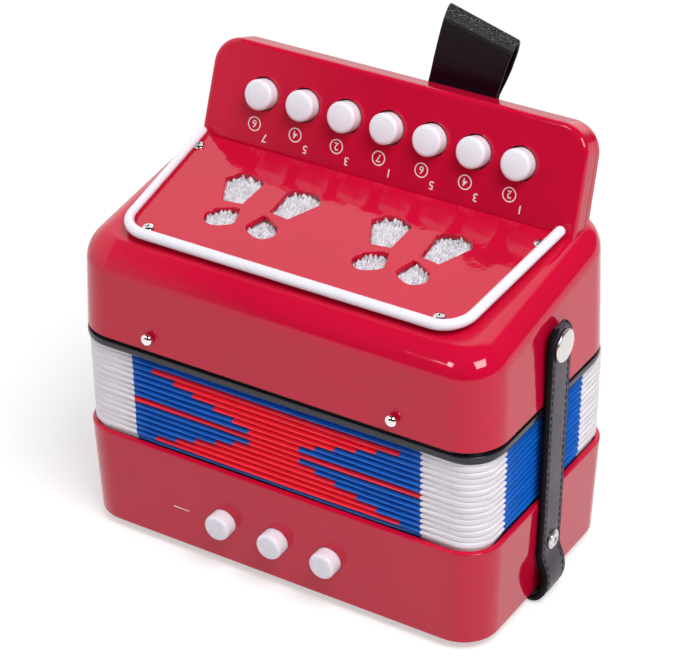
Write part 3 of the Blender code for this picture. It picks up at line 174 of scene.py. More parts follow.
def merge() -> None:
    """Joins the doubled vertices of the open mesh."""
    pick_all()
    bpy.ops.mesh.remove_doubles(threshold=DOUBLED)


def face_out() -> None:
    """Turns every face of the open mesh outward."""
    pick_all()
    bpy.ops.mesh.normals_make_consistent(inside=False)


def close_up() -> None:
    """Closes the open mesh's holes and turns its faces outward."""
    pick_all()
    bpy.ops.mesh.fill_holes(sides=0)
    face_out()


def upright(edge: Edge, least: float = 0.002) -> bool:
    """Whether an edge rises by more than a height."""
    return abs(edge.verts[0].co.z - edge.verts[1].co.z) > least


def level(edge: Edge, height: float) -> bool:
    """Whether both ends of an edge lie at a height."""
    return all(abs(vert.co.z - height) < NEAR for vert in edge.verts)


def round_off(piece: Piece, test: Callable[[Edge], bool], width: float, steps: int) -> None:
    """Bevels the open piece's edges that pass a test, to a width and in so many steps."""
    if pick(piece, "EDGE", test):
        bpy.ops.mesh.bevel(offset=width, segments=steps, affect="EDGES")


def quarter(steps: float, first: int, last: int) -> list[float]:
    """Angles of a quarter turn's steps, from the first up to but not with the last."""
    return [math.pi / 2 * step / steps for step in range(first, last)]


def apply(piece: Piece, kind: str, **settings: object) -> None:
    """Adds a modifier to a piece and applies it.

    Args:
        piece: The piece.
        kind: The modifier's type.
        settings: The modifier's settings.
    """
    take(piece)
    modifier = piece.modifiers.new(kind, kind)
    for key, value in settings.items():
        setattr(modifier, key, value)
    bpy.ops.object.modifier_apply(modifier=modifier.name)


def discard(piece: Piece) -> None:
    """Throws a piece away."""
    take(piece)
    bpy.ops.object.delete()


def soften(piece: Piece, angle: float = 32.0) -> Piece:
    """Smooths a piece up to an angle and lets its large faces lead the shading.

    Args:
        piece: The piece to smooth.
        angle: Edges sharper than this many degrees stay sharp.

    Returns:
        The same piece.
    """
    take(piece)
    bpy.ops.object.shade_smooth_by_angle(angle=math.radians(angle))
    apply(piece, "WEIGHTED_NORMAL", keep_sharp=True)
    return piece


def gather(name: str, pieces: Sequence[Piece]) -> Piece:
    """Joins pieces into one mesh.

    Args:
        name: The joined piece's name.
        pieces: The pieces; the first one's mesh takes in the others.

    Returns:
        The joined piece.
    """
    put_down()
    for piece in pieces:
        piece.select_set(True)
    bpy.context.view_layer.objects.active = pieces[0]
    if len(pieces) > 1:
        bpy.ops.object.join()
    pieces[0].name = name
    pieces[0].data.name = name
    return pieces[0]


def combine(piece: Piece, tools: Sequence[Piece], joining: Joining = Joining.CUT) -> Piece:
    """Cuts tools out of a piece, or fuses them to it, and clears the tools away.

    Args:
        piece: The piece that is kept.
        tools: Solids that don't touch each other.
        joining: Whether they are cut away or fused.

    Returns:
        The changed piece.
    """
    tool = gather("tool", tools)
    apply(piece, "BOOLEAN", operation=joining.value, solver="EXACT", object=tool)
    discard(tool)
    return piece


def copy_piece(piece: Piece, name: str, where: Matrix) -> Piece:
    """Copies a finished piece with its own mesh.

    Args:
        piece: The piece to copy.
        name: The copy's name.
        where: The matrix that the copy's mesh takes.

    Returns:
        The copy.
    """
    twin = piece.copy()
    twin.data = piece.data.copy()
    twin.name = name
    twin.data.name = name
    twin.data.transform(where)
    bpy.context.scene.collection.objects.link(twin)
    return twin


def block(name: str, low: Spot, high: Spot) -> Piece:
    """Adds a box between two corners.

    Args:
        name: The piece's name.
        low: Its lowest corner.
        high: Its highest corner.

    Returns:
        The box.
    """
    low, high = Vector(low), Vector(high)
    put_down()
    bpy.ops.mesh.primitive_cube_add(size=1, location=(low + high) / 2)
    bpy.context.object.scale = high - low
    return name_new(name)


def cylinder(name: str, radius: float, start: Spot, end: Spot, steps: int = 32) -> Piece:
    """Adds a round bar between two points.

    Args:
        name: The piece's name.
        radius: Its radius.
        start: The middle of one end.
        end: The middle of the other end.
        steps: Sides of its circle.

    Returns:
        The bar.
    """
    start, end = Vector(start), Vector(end)
    put_down()
    bpy.ops.mesh.primitive_cylinder_add(vertices=steps, radius=radius, depth=(end - start).length)
    bar = bpy.context.object
    bar.matrix_world = Matrix.Translation((start + end) / 2) @ facing(end - start)
    return name_new(name)


def facing(direction: Vector) -> Matrix:
    """Rotation, as a 4x4 matrix, that points Z along a direction."""
    return Vector(direction).to_track_quat("Z", "Y").to_matrix().to_4x4()


def turned(name: str, profile: Outline, where: Matrix, steps: int = 48) -> Piece:
    """Turns a round piece: a disc is extruded from each height to the next and resized to its radius.

    Args:
        name: The piece's name.
        profile: Radius and height of each step, from one end to the other.
        where: The frame that the turning axis, Z, is placed in.
        steps: Sides of its circle.

    Returns:
        The turned piece.
    """
    radius, height = profile[0]
    put_down()
    bpy.ops.mesh.primitive_circle_add(vertices=steps, radius=radius, fill_type="NGON",
                                      location=(0, 0, height))
    piece = name_new(name)
    with shaping(piece, "FACE"):
        pick_all()
        for wider, higher in profile[1:]:
            bpy.ops.mesh.extrude_region_move(TRANSFORM_OT_translate={"value": (0, 0, higher - height)})
            ratio = wider / radius
            bpy.ops.transform.resize(value=(ratio, ratio, 1), center_override=(0, 0, higher))
            radius, height = wider, higher
        close_up()
    return place(piece, where)


def slab(name: str, outline: Outline, low: float, high: float, where: Matrix) -> Piece:
    """Extrudes a flat outline between two heights and places it in a frame.

    Args:
        name: The piece's name.
        outline: Points of the outline, in order.
        low: Height of its underside in the frame.
        high: Height of its upper side.
        where: The frame.

    Returns:
        The slab.
    """
    put_down()
    bpy.ops.mesh.primitive_circle_add(vertices=len(outline), radius=1, fill_type="NGON")
    piece = name_new(name)
    for vert, (x, y) in zip(piece.data.vertices, outline):
        vert.co = (x, y, low)
    with shaping(piece, "FACE"):
        pick_all()
        bpy.ops.mesh.extrude_region_move(TRANSFORM_OT_translate={"value": (0, 0, high - low)})
        close_up()
    return place(piece, where)


def sleeve(name: str, loops: Sequence[Sequence[Vector]], capped: bool = False) -> Piece:
    """Wraps a grid into a sleeve that passes through closed loops of points.

    Args:
        name: The piece's name.
        loops: The loops from one end to the other, each with as many points.
        capped: Whether both ends are closed.

    Returns:
        The sleeve.
    """
    across, along = len(loops[0]), len(loops) - 1
    put_down()
    bpy.ops.mesh.primitive_grid_add(x_subdivisions=across, y_subdivisions=along, size=1)
    piece = name_new(name)
    for vert in piece.data.vertices:
        column = round((vert.co.x + 0.5) * across) % across
        row = round((vert.co.y + 0.5) * along)
        vert.co = loops[row][column]
    with shaping(piece):
        merge()
        if capped:
            close_up()
        face_out()
    return piece


def thread_line(name: str, spine: Sequence[Spot], radii: Sequence[float], steps: int = 6) -> Piece:
    """Runs a round bead along points, with its own radius at each.

    Args:
        name: The piece's name.
        spine: Points of its middle line.
        radii: Radius at each point.
        steps: Curve resolution of its round section.

    Returns:
        The bead as a mesh.
    """
    put_down()
    bpy.ops.curve.primitive_nurbs_path_add()
    piece = bpy.context.object
    curve = piece.data
    curve.splines.clear()
    spline = curve.splines.new("POLY")
    spline.points.add(len(spine) - 1)
    for control, point, radius in zip(spline.points, spine, radii):
        control.co = (*point, 1)
        control.radius = radius
    curve.bevel_depth = 1.0
    curve.bevel_resolution = steps
    curve.use_fill_caps = True
    bpy.ops.object.convert(target="MESH")
    piece = name_new(name)
    with shaping(piece):
        face_out()
    return piece


def ride(piece: Piece, body: str, *nodes: str) -> Piece:
    """Fixes a finished piece to a moving body and lets it stand for CAD nodes.

    Args:
        piece: The finished piece.
        body: The body that it moves with.
        nodes: CAD nodes that it replaces.

    Returns:
        The same piece.
    """
    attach(piece, body)
    if nodes:
        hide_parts(*nodes)
    LOG.info("%s rides on %s with %d faces", piece.name, body, len(piece.data.polygons))
    return piece


# --- shared sizes ---
@dataclass(frozen=True)
class Datum:
    """Sizes and frames that the sub-assemblies share, in metres."""

    width: float = 0.170
    depth: float = 0.099
    middle_y: float = 0.0010607
    floor_z: float = 0.0030
    rim_z: float = 0.0427
    mouth_z: float = 0.0839
    crease_y: float = 0.0266607
    crease_z: float = 0.1322
    top_z: float = 0.1298719
    top_slope: float = math.radians(8.9)
    panel_tilt: float = math.radians(17.8)
    strap_y: float = -0.0011393
    gap: float = 0.0003
    side_draft: float = 0.0016
    base_draft: float = 0.00136
    casing_wall: float = 0.0022
    keyboard_depth: float = 0.011
    keyboard_rise: float = 0.0363
    snap_z: float = 0.1057
    strap_screw_z: float = 0.0248
    strap_thickness: float = 0.0024
    pin_x: float = 0.0498
    pin_z: float = 0.0896
    screw_hole: float = 0.0013
    screw_shift: Point = (-0.0012, 0.0009)

    @property
    def panel(self) -> Matrix:
        """Frame on the keyboard's face: X across, Y up the face from the crease, Z out of it."""
        return self.tilted(math.sin(self.panel_tilt), math.cos(self.panel_tilt), self.crease_z)

    @property
    def top(self) -> Matrix:
        """Frame on the sloping top: X across, Y up the slope to the crease, Z out of it."""
        return self.tilted(math.cos(self.top_slope), math.sin(self.top_slope), self.top_z)

    def tilted(self, back: float, up: float, height: float) -> Matrix:
        """Frame at a height above the crease: X across, Y going back and up by the shares given."""
        axes = Matrix(((1, 0, 0), (0, back, up), (0, -up, back))).transposed().to_4x4()
        return Matrix.Translation((0, self.crease_y, height)) @ axes

    def side_x(self, z: float) -> float:
        """Half the treble casing's width at a height."""
        return self.width / 2 - self.side_draft * (z - self.mouth_z) / (self.crease_z - self.mouth_z)

    def base_lean(self, z: float) -> float:
        """How far the bass casing's walls lean in from its rim to a height."""
        return self.base_draft * (self.rim_z - z) / (self.rim_z - self.floor_z)

    def base_x(self, z: float) -> float:
        """Half the bass casing's width at a height."""
        return self.width / 2 - self.base_lean(z)

    def base_front_y(self, z: float) -> float:
        """The bass casing's front face at a height."""
        return self.middle_y - self.depth / 2 + self.base_lean(z)


BODY = Datum()


def drill(start: Spot, end: Spot, steps: int = 12) -> Piece:
    """A solid that cuts a screw's hole between two points."""
    return cylinder("hole", BODY.screw_hole, start, end, steps)


def pin_holes(side: int, reach: float) -> list[Piece]:
    """Solids that cut the holes of one long wall's bellows pins, so far to each side of the wall."""
    y = BODY.middle_y + side * BODY.depth / 2
    return [drill((x, y - reach, BODY.pin_z), (x, y + reach, BODY.pin_z)) for x in (-BODY.pin_x, BODY.pin_x)]


# --- finishes ---
class Nodes:
    """A node tree that grows node by node."""

    def __init__(self, tree: bpy.types.NodeTree) -> None:
        """Takes the tree to add to."""
        self.tree = tree

    def node(self, kind: str, links: dict | None = None, values: dict | None = None,
             **settings: object) -> bpy.types.Node:
        """Adds a node.

        Args:
            kind: The node's type name, without its ShaderNode prefix.
            links: Input name or number to the output socket that feeds it.
            values: Input name or number to a plain value.
            settings: The node's own settings.

        Returns:
            The node.
        """
        made = self.tree.nodes.new(f"ShaderNode{kind}")
        for key, value in settings.items():
            setattr(made, key, value)
        for key, value in (values or {}).items():
            made.inputs[key].default_value = value
        for key, socket in (links or {}).items():
            self.tree.links.new(socket, made.inputs[key])
        return made

    def math(self, kind: str, first: Socket, second: Socket | float = 0.0) -> Socket:
        """One step of arithmetic on a socket and another socket or a number.

        Args:
            kind: The operation.
            first: Its first value.
            second: Its second value.

        Returns:
            The result.
        """
        links, values = {0: first}, {}
        (values if isinstance(second, float) else links)[1] = second
        return self.node("Math", links, values, operation=kind).outputs[0]


class Graph(Nodes):
    """A material and the node tree behind it."""

    def __init__(self, name: str) -> None:
        """Starts a material of this name with one Principled shader.

        Args:
            name: The material's name.
        """
        self.material = bpy.data.materials.new(name)
        self.material.use_nodes = True
        super().__init__(self.material.node_tree)
        self.shader = self.tree.nodes["Principled BSDF"]

    def feed(self, name: str, socket: Socket) -> None:
        """Links a socket to one of the shader's inputs."""
        self.tree.links.new(socket, self.shader.inputs[name])

    def fix(self, **values: object) -> None:
        """Sets the shader's own sockets; underscores in a name stand for spaces."""
        for key, value in values.items():
            self.shader.inputs[key.replace("_", " ")].default_value = value

    def shade(self, fac: Socket, colour: Colour, low: float, high: float) -> None:
        """Feeds the base colour with a darker to a lighter tint, by a factor."""
        self.feed("Base Color", self.blend(fac, tinted(colour, low), tinted(colour, high)))

    def spots(self, stretch: Sequence[float] = (1, 1, 1)) -> Socket:
        """Object coordinates, stretched along their axes.

        Args:
            stretch: Factor for each axis.

        Returns:
            The coordinates.
        """
        source = self.node("TexCoord").outputs["Object"]
        if tuple(stretch) == (1, 1, 1):
            return source
        return self.node("Mapping", {"Vector": source}, {"Scale": stretch}).outputs["Vector"]

    def noise(self, where: Socket, scale: float, detail: float = 3.0, roughness: float = 0.5) -> Socket:
        """Noise at a scale per metre."""
        return self.node("TexNoise", {"Vector": where},
                         {"Scale": scale, "Detail": detail, "Roughness": roughness}).outputs["Fac"]

    def spread(self, fac: Socket, low: float, high: float, start: float = 0.3, end: float = 0.7) -> Socket:
        """Maps a factor's useful range to two values."""
        return self.node("MapRange", {0: fac}, {1: start, 2: end, 3: low, 4: high}).outputs[0]

    def blend(self, fac: Socket, first: Colour, second: Colour) -> Socket:
        """Mixes two colours by a factor."""
        return self.node("Mix", {0: fac}, {6: (*first, 1), 7: (*second, 1)}, data_type="RGBA").outputs[2]

    def shifted(self, where: Socket, scale: float, detail: float, reach: float) -> Socket:
        """Places moved about by coloured noise, so that a pattern on them wanders.

        Args:
            where: The places.
            scale: The noise's scale per metre.
            detail: Its detail.
            reach: How far a place moves at most.

        Returns:
            The moved places.
        """
        wobble = self.node("TexNoise", {"Vector": where}, {"Scale": scale, "Detail": detail}).outputs["Color"]
        small = self.node("VectorMath", {0: wobble}, {1: (reach,) * 3}, operation="MULTIPLY").outputs[0]
        return self.node("VectorMath", {0: where, 1: small}, operation="ADD").outputs[0]

    def bump(self, height: Socket, strength: float, distance: float, before: Socket | None = None) -> Socket:
        """Turns a height into a normal.

        Args:
            height: The height.
            strength: The bump's strength.
            distance: The height's full depth.
            before: A normal that it is laid over.

        Returns:
            The normal.
        """
        links = {"Height": height}
        if before is not None:
            links["Normal"] = before
        return self.node("Bump", links, {"Strength": strength, "Distance": distance}).outputs["Normal"]


def tinted(colour: Colour, by: float) -> Colour:
    """A colour made darker or lighter by a factor."""
    return tuple(min(1.0, part * by) for part in colour)


@dataclass(frozen=True)
class Moulded:
    """Injection-moulded plastic: faint flow marks, orange peel and hairline rubs."""

    name: str
    slot: str
    colour: Colour
    roughness: float = 0.07
    peel: float = 0.035
    mottle: float = 0.06
    ior: float = 1.5
    waves: float = 0.0

    def make(self) -> bpy.types.Material:
        """Builds the material.

        Returns:
            The material.
        """
        g = Graph(self.name)
        where = g.spots()
        flow = g.noise(g.spots((1, 1, 0.35)), 22, 2)
        g.shade(g.spread(flow, 0, 1), self.colour, 1 - self.mottle, 1 + self.mottle)
        rubs = g.noise(g.spots((40, 900, 60)), 3, 2, 0.6)
        haze = g.noise(where, 55, 4, 0.6)
        rub = g.spread(rubs, 0, 0.05, 0.62, 0.8)
        dull = g.spread(haze, self.roughness * 0.8, self.roughness * 1.5)
        g.feed("Roughness", g.math("ADD", dull, rub))
        peel = g.bump(g.noise(where, 420, 2, 0.4), self.peel, 0.0004)
        if self.waves:
            peel = g.bump(g.noise(where, 60, 3, 0.55), self.waves, 0.002, peel)
        g.feed("Normal", peel)
        g.fix(IOR=self.ior)
        return g.material


@dataclass(frozen=True)
class Grained:
    """Leatherette: a pebbled grain, creases and a dull film over a dark base."""

    name: str
    slot: str
    colour: Colour
    roughness: float = 0.42
    pebble: float = 1150.0
    depth: float = 0.5
    ior: float = 1.48

    def make(self) -> bpy.types.Material:
        """Builds the material.

        Returns:
            The material.
        """
        g = Graph(self.name)
        where = g.shifted(g.spots(), 500, 2, 0.0007)
        cells = g.node("TexVoronoi", {"Vector": where}, {"Scale": self.pebble}, feature="DISTANCE_TO_EDGE")
        pebbles = g.spread(cells.outputs[0], 0, 1, 0.0, 0.25)
        soil = g.noise(g.spots(), 90, 4, 0.6)
        # The base colour is darker in the crevices between the pebbles: painted shade.
        g.shade(g.math("MULTIPLY", pebbles, g.spread(soil, 0.7, 1.1)), self.colour, 0.6, 1.12)
        g.feed("Roughness", g.spread(soil, self.roughness * 0.85, self.roughness * 1.2))
        creases = g.noise(g.spots((1, 1, 2.5)), 160, 3, 0.5)
        g.feed("Normal", g.bump(pebbles, self.depth * 0.5, 0.0002, g.bump(creases, self.depth * 0.3, 0.0006)))
        g.fix(IOR=self.ior)
        return g.material


@dataclass(frozen=True)
class Ribbed:
    """Bellows tape: satin cloth with threads along each pleat and a fine twill across them."""

    name: str
    slot: str
    colour: Colour
    roughness: float = 0.42
    contrast: float = 0.16
    depth: float = 0.35

    def make(self) -> bpy.types.Material:
        """Builds the material.

        Returns:
            The material.
        """
        g = Graph(self.name)
        threads = g.noise(g.spots((1, 1, 26)), 110, 3, 0.6)
        twill = g.node("TexWave", {"Vector": g.spots()}, {"Scale": 260, "Distortion": 1.2, "Detail": 1},
                       bands_direction="DIAGONAL").outputs["Fac"]
        tone = g.math("MULTIPLY", g.spread(threads, 0, 1), g.spread(twill, 0.75, 1.0, 0, 1))
        g.shade(tone, self.colour, 1 - self.contrast, 1 + self.contrast)
        g.feed("Roughness", g.spread(threads, self.roughness * 0.8, self.roughness * 1.25))
        g.feed("Normal", g.bump(twill, self.depth * 0.25, 0.0001, g.bump(threads, self.depth, 0.0002)))
        g.fix(IOR=1.38, Sheen_Weight=0.03, Sheen_Roughness=0.5)
        return g.material


@dataclass(frozen=True)
class Woven:
    """Open woven mesh: bright threads over and under each other, with painted shade in the holes between."""

    name: str
    slot: str
    colour: Colour
    hole: Colour
    pitch: float = 0.0013

    def make(self) -> bpy.types.Material:
        """Builds the material.

        Returns:
            The material.
        """
        g = Graph(self.name)
        parts = g.node("SeparateXYZ", {0: g.shifted(g.spots(), 600, 3, 0.0022)})
        turns = [g.math("MULTIPLY", parts.outputs[axis], math.pi / self.pitch) for axis in (0, 1)]
        height = g.math("MAXIMUM", *[g.math("ABSOLUTE", g.math("SINE", turn)) for turn in turns])
        thread = g.spread(height, 0, 1, 0.35, 0.75)
        # The holes between the threads take the darker colour: painted shade.
        g.feed("Base Color", g.blend(thread, self.hole, self.colour))
        g.feed("Roughness", g.spread(thread, 0.7, 0.35, 0, 1))
        g.feed("Normal", g.bump(height, 0.8, 0.0006))
        g.fix(Sheen_Weight=0.1, Sheen_Roughness=0.4)
        return g.material


@dataclass(frozen=True)
class Metal:
    """Plated or plain metal with fine polishing lines and a few cloudy patches."""

    name: str
    slot: str
    colour: Colour
    roughness: float = 0.12
    lines: float = 0.06

    def make(self) -> bpy.types.Material:
        """Builds the material.

        Returns:
            The material.
        """
        g = Graph(self.name)
        polish = g.noise(g.spots((1, 1, 12)), 900, 3, 0.6)
        cloud = g.noise(g.spots(), 160, 3, 0.5)
        g.shade(g.spread(cloud, 0, 1), self.colour, 0.9, 1.04)
        g.feed("Roughness", g.spread(polish, self.roughness * 0.75, self.roughness * 1.5))
        g.feed("Normal", g.bump(polish, self.lines, 0.0001))
        g.fix(Metallic=1.0)
        return g.material


class Palette:
    """Every finish on the instrument, made once."""

    def __init__(self) -> None:
        """Builds the materials."""
        finishes = [
            Moulded("gloss_red", "red_plastic", (0.585, 0.0036, 0.036), 0.045, 0.035, 0.05, 1.43),
            Moulded("plate_red", "red_plastic", (0.57, 0.0038, 0.034), 0.05, 0.04, 0.05, 1.43, 0.12),
            Moulded("satin_white", "white_plastic", (0.845, 0.825, 0.905), 0.26, 0.02, 0.02),
            Moulded("print_white", "white_plastic", (0.86, 0.80, 0.84), 0.4, 0.02, 0.02),
            Moulded("satin_black", "black_plastic", (0.010, 0.009, 0.015), 0.24, 0.05, 0.15),
            Moulded("pale_moulding", "pale_plastic", (0.62, 0.58, 0.50), 0.38, 0.08, 0.05),
            Grained("strap_grain", "leatherette", (0.066, 0.046, 0.073)),
            # Near-black finish for the strap's edges and the side that faces the casing: partly dark edge
            # paint, partly painted shade.
            Grained("strap_edge", "leatherette", (0.003, 0.0025, 0.0035), 0.5, 900.0, 0.25, 1.2),
            Grained("loop_grain", "leatherette", (0.0062, 0.0010, 0.0062), 0.40, 900.0, 0.6, 1.27),
            # The next two finishes are lighter, shinier copies of loop_grain: a painted highlight along the
            # thumb loop's fold.
            Grained("loop_painted_half_sheen", "leatherette", (0.0065, 0.0030, 0.0075), 0.36, 1000.0, 0.9, 1.35),
            Grained("loop_painted_fold_sheen", "leatherette", (0.010, 0.008, 0.012), 0.30, 1100.0, 1.0, 1.62),
            Ribbed("thread_black", "leatherette", (0.006, 0.005, 0.008), 0.6),
            Ribbed("pleat_white", "bellows_cloth", (0.83, 0.785, 0.835), 0.45, 0.015, 0.10),
            Ribbed("pleat_blue", "bellows_cloth", (0.001, 0.122, 0.56), 0.36),
            Ribbed("pleat_red", "bellows_cloth", (0.96, 0.014, 0.042), 0.34, 0.06),
            # The mesh's second colour is painted shade in the holes of the weave.
            Woven("white_mesh", "grille_mesh", (0.77, 0.74, 0.785), (0.60, 0.62, 0.69)),
            Metal("bright_nickel", "nickel", (0.84, 0.80, 0.79)),
            Metal("soft_nickel", "nickel", (0.70, 0.67, 0.65), 0.24),
            Metal("plain_steel", "steel", (0.56, 0.56, 0.57), 0.3, 0.15),
            Metal("plain_brass", "reed_brass", (0.76, 0.56, 0.24), 0.28, 0.12),
        ]
        self.slots = {finish.name: finish.slot for finish in finishes}
        self.materials = {finish.name: finish.make() for finish in finishes}

    def of_slot(self, slot: str) -> bpy.types.Material | None:
        """The first finish that stands for a slot, if there is one."""
        return next((self.materials[name] for name, own in self.slots.items() if own == slot), None)

    def dress(self, piece: Piece, *names: str) -> Piece:
        """Gives a piece its finishes.

        Args:
            piece: The piece.
            names: Finish names, in the order of its material slots.

        Returns:
            The same piece.
        """
        piece.data.materials.clear()
        for name in names:
            piece.data.materials.append(self.materials[name])
        return piece


# --- treble casing and keyboard ---
def shoulder_up(back: float) -> float:
    """How far up the keyboard's face the casing's top comes, at a depth behind that face.

    Args:
        back: The depth behind the face.

    Returns:
        The way up the face from the crease.
    """
    rise = math.cos(BODY.panel_tilt) - math.tan(BODY.top_slope) * math.sin(BODY.panel_tilt)
    fall = math.sin(BODY.panel_tilt) + math.tan(BODY.top_slope) * math.cos(BODY.panel_tilt)
    return (BODY.top_z - BODY.crease_z + fall * back) / rise


def drafted_block(name: str, inset: float, low_z: float, high_z: float, shrink: float, radii: Point,
                  steps: int = 14) -> Piece:
    """Shapes a box with round upright edges that leans in towards its top.

    Args:
        name: The piece's name.
        inset: How far its foot is drawn in from the body's width and depth.
        low_z: Height of its foot.
        high_z: Height of its top.
        shrink: How much each side leans in from foot to top.
        radii: Radius of the front and of the back upright edges.
        steps: Segments of each round edge.

    Returns:
        The block.
    """
    half_x, half_y = BODY.width / 2 - inset, BODY.depth / 2 - inset
    piece = block(name, (-half_x, BODY.middle_y - half_y, low_z), (half_x, BODY.middle_y + half_y, high_z))
    with shaping(piece, "EDGE"):
        for side, radius in zip((-1, 1), radii):
            round_off(piece, lambda edge: upright(edge)
                      and side * (edge.verts[0].co.y - BODY.middle_y) > half_y - NEAR, radius, steps)
        pick(piece, "VERT", lambda vert: vert.co.z > high_z - NEAR)
        bpy.ops.transform.resize(value=((half_x - shrink) / half_x, (half_y - shrink) / half_y, 1),
                                 center_override=(0, BODY.middle_y, high_z))
    return piece


@dataclass
class TrebleCasing:
    """Sloping-topped shell with the keyboard's front in one moulding."""

    palette: Palette
    wall: float = BODY.casing_wall
    block_top: float = 0.150
    radii: Point = (0.016, 0.020)
    fillet: float = 0.0095
    fillet_steps: int = 12
    panel_foot: float = 0.0771
    panel_top: float = 0.0761
    panel_corner: float = 0.0108
    panel_sunk: float = 0.007
    shell_depth: float = 0.0074
    edge_round: float = 0.0018
    cover_round: float = 0.0009
    cover_wall: float = 0.0016
    post_radius: float = 0.003
    post_at: Point = (0.067, 0.020)
    square_below: float = 0.012
    passage_half: float = 0.0695
    passage_low: Point = (-0.014, -0.0076)
    key_xs: Sequence[float] = tuple(-0.0004 + (i - 3) * 0.01755 for i in range(7))
    button_up: float = 0.0184
    hole_radius: float = 0.0063
    hole_reach: Point = (-0.005, 0.002)
    hole_round: float = 0.00022
    through: Point = (-0.0044, 0.002)
    wall_reach: float = 0.004
    window_half: float = 0.058
    window_down: Point = (0.014, 0.054)
    vent_screws: Sequence[Point] = ((0.0702, 0.0103), (0.0588, 0.0597))

    def shell(self, name: str, inset: float) -> Piece:
        """Shapes the body block, cut by the slope and rounded along its rim.

        Args:
            name: The piece's name.
            inset: How far it is drawn in on every side.

        Returns:
            The block.
        """
        low_z = BODY.mouth_z - (self.wall if inset else 0)
        shrink = BODY.side_x(low_z) - BODY.side_x(self.block_top)
        front_radius, back_radius = self.radii
        piece = drafted_block(name, inset, low_z, self.block_top, shrink,
                              (front_radius - inset, back_radius - inset))
        out = BODY.top.to_3x3() @ Vector((0, 0, 1))
        on_slope = BODY.top.translation - out * inset
        with shaping(piece, "EDGE"):
            pick_all()
            bpy.ops.mesh.bisect(plane_co=on_slope, plane_no=out, use_fill=True, clear_outer=True)
            face_out()
            round_off(piece, lambda edge: all(abs((vert.co - on_slope).dot(out)) < NEAR
                                              for vert in edge.verts), self.fillet - inset, self.fillet_steps)
        return piece

    def panel_block(self, name: str, foot_up: float, inset: float, low: float, high: float,
                    rounded: float = 0.0) -> Piece:
        """Shapes a plate of the keyboard in its own frame: it narrows upward and has round top corners.

        Args:
            name: The piece's name.
            foot_up: How far up the face it starts.
            inset: How far it is drawn in at its sides and top.
            low: Its back, measured out of the face.
            high: Its front.
            rounded: Radius of its front edge.

        Returns:
            The plate, still in the keyboard's frame.
        """
        taper = (self.panel_foot - self.panel_top) / BODY.keyboard_rise
        foot = self.panel_foot - taper * foot_up - inset
        top_y = BODY.keyboard_rise - inset
        top = self.panel_foot - taper * top_y - inset
        piece = block(name, (-foot, foot_up, low), (foot, top_y, high))
        with shaping(piece, "EDGE"):
            pick(piece, "VERT", lambda vert: vert.co.y > top_y - NEAR)
            bpy.ops.transform.resize(value=(top / foot, 1, 1), center_override=(0, top_y, 0))
            round_off(piece, lambda edge: upright(edge, 1e-4)
                      and min(vert.co.y for vert in edge.verts) > top_y - NEAR, self.panel_corner - inset, 14)
            if rounded:
                round_off(piece, lambda edge: level(edge, high)
                          and max(vert.co.y for vert in edge.verts) > foot_up + 10 * NEAR, rounded, 5)
        return piece

    def build(self) -> None:
        """Shapes the casing and the keyboard's back cover."""
        casing = self.shell("casing_top", 0.0)
        front = self.panel_block("front", -self.panel_sunk, 0.0, -self.shell_depth, 0.0, self.edge_round)
        combine(casing, [place(front, BODY.panel)], Joining.FUSE)
        combine(casing, [self.shell("hollow", self.wall)])
        ledge = shoulder_up(BODY.keyboard_depth) + self.wall
        pocket = self.panel_block("pocket", ledge, self.wall, -BODY.keyboard_depth, -self.wall)
        combine(casing, [place(pocket, BODY.panel)])
        passage = block("passage", (-self.passage_half, *self.passage_low),
                        (self.passage_half, ledge + self.wall, -self.wall))
        combine(casing, [place(passage, BODY.panel)])
        combine(casing, self.holes())
        self.ease_holes(casing)
        ride(self.palette.dress(soften(casing), "gloss_red"), "treble_body", "treble_casing")
        self.back_cover()

    def holes(self) -> list[Piece]:
        """Solids that cut the buttons' holes, the window under the grille and the screws' and pins' holes.

        Returns:
            The solids.
        """
        holes = [cylinder("hole", self.hole_radius,
                          *(BODY.panel @ Vector((x, self.button_up, reach)) for reach in self.hole_reach), 48)
                 for x in self.key_xs]
        deep, clear = self.through
        near, far = self.window_down
        window = block("window", (-self.window_half, -far, deep), (self.window_half, -near, clear))
        holes.append(place(window, BODY.top))
        right, back = BODY.screw_shift
        for x, down in self.vent_screws:
            holes += [drill(BODY.top @ Vector((side * x + right, back - down, deep)),
                            BODY.top @ Vector((side * x + right, back - down, clear))) for side in (-1, 1)]
        for side in (-1, 1):
            x, y, z = side * BODY.side_x(BODY.snap_z), BODY.strap_y, BODY.snap_z
            holes.append(drill((x - self.wall_reach, y, z), (x + self.wall_reach, y, z)))
            holes += pin_holes(side, self.wall_reach)
        return holes

    def ease_holes(self, casing: Piece) -> None:
        """Breaks the sharp edge of each button hole on the keyboard's face.

        Args:
            casing: The casing with its holes.
        """
        into = BODY.panel.inverted()

        def on_hole(edge: Edge) -> bool:
            """Tells the edges of the button holes' rims from others.

            Args:
                edge: An edge of the casing.

            Returns:
                Whether it lies on a rim.
            """
            ends = [into @ vert.co for vert in edge.verts]
            return all(abs(end.z) < 2e-5 and any(abs(math.hypot(end.x - x, end.y - self.button_up)
                       - self.hole_radius) < 1e-4 for x in self.key_xs) for end in ends)

        with shaping(casing, "EDGE"):
            round_off(casing, on_hole, self.hole_round, 2)

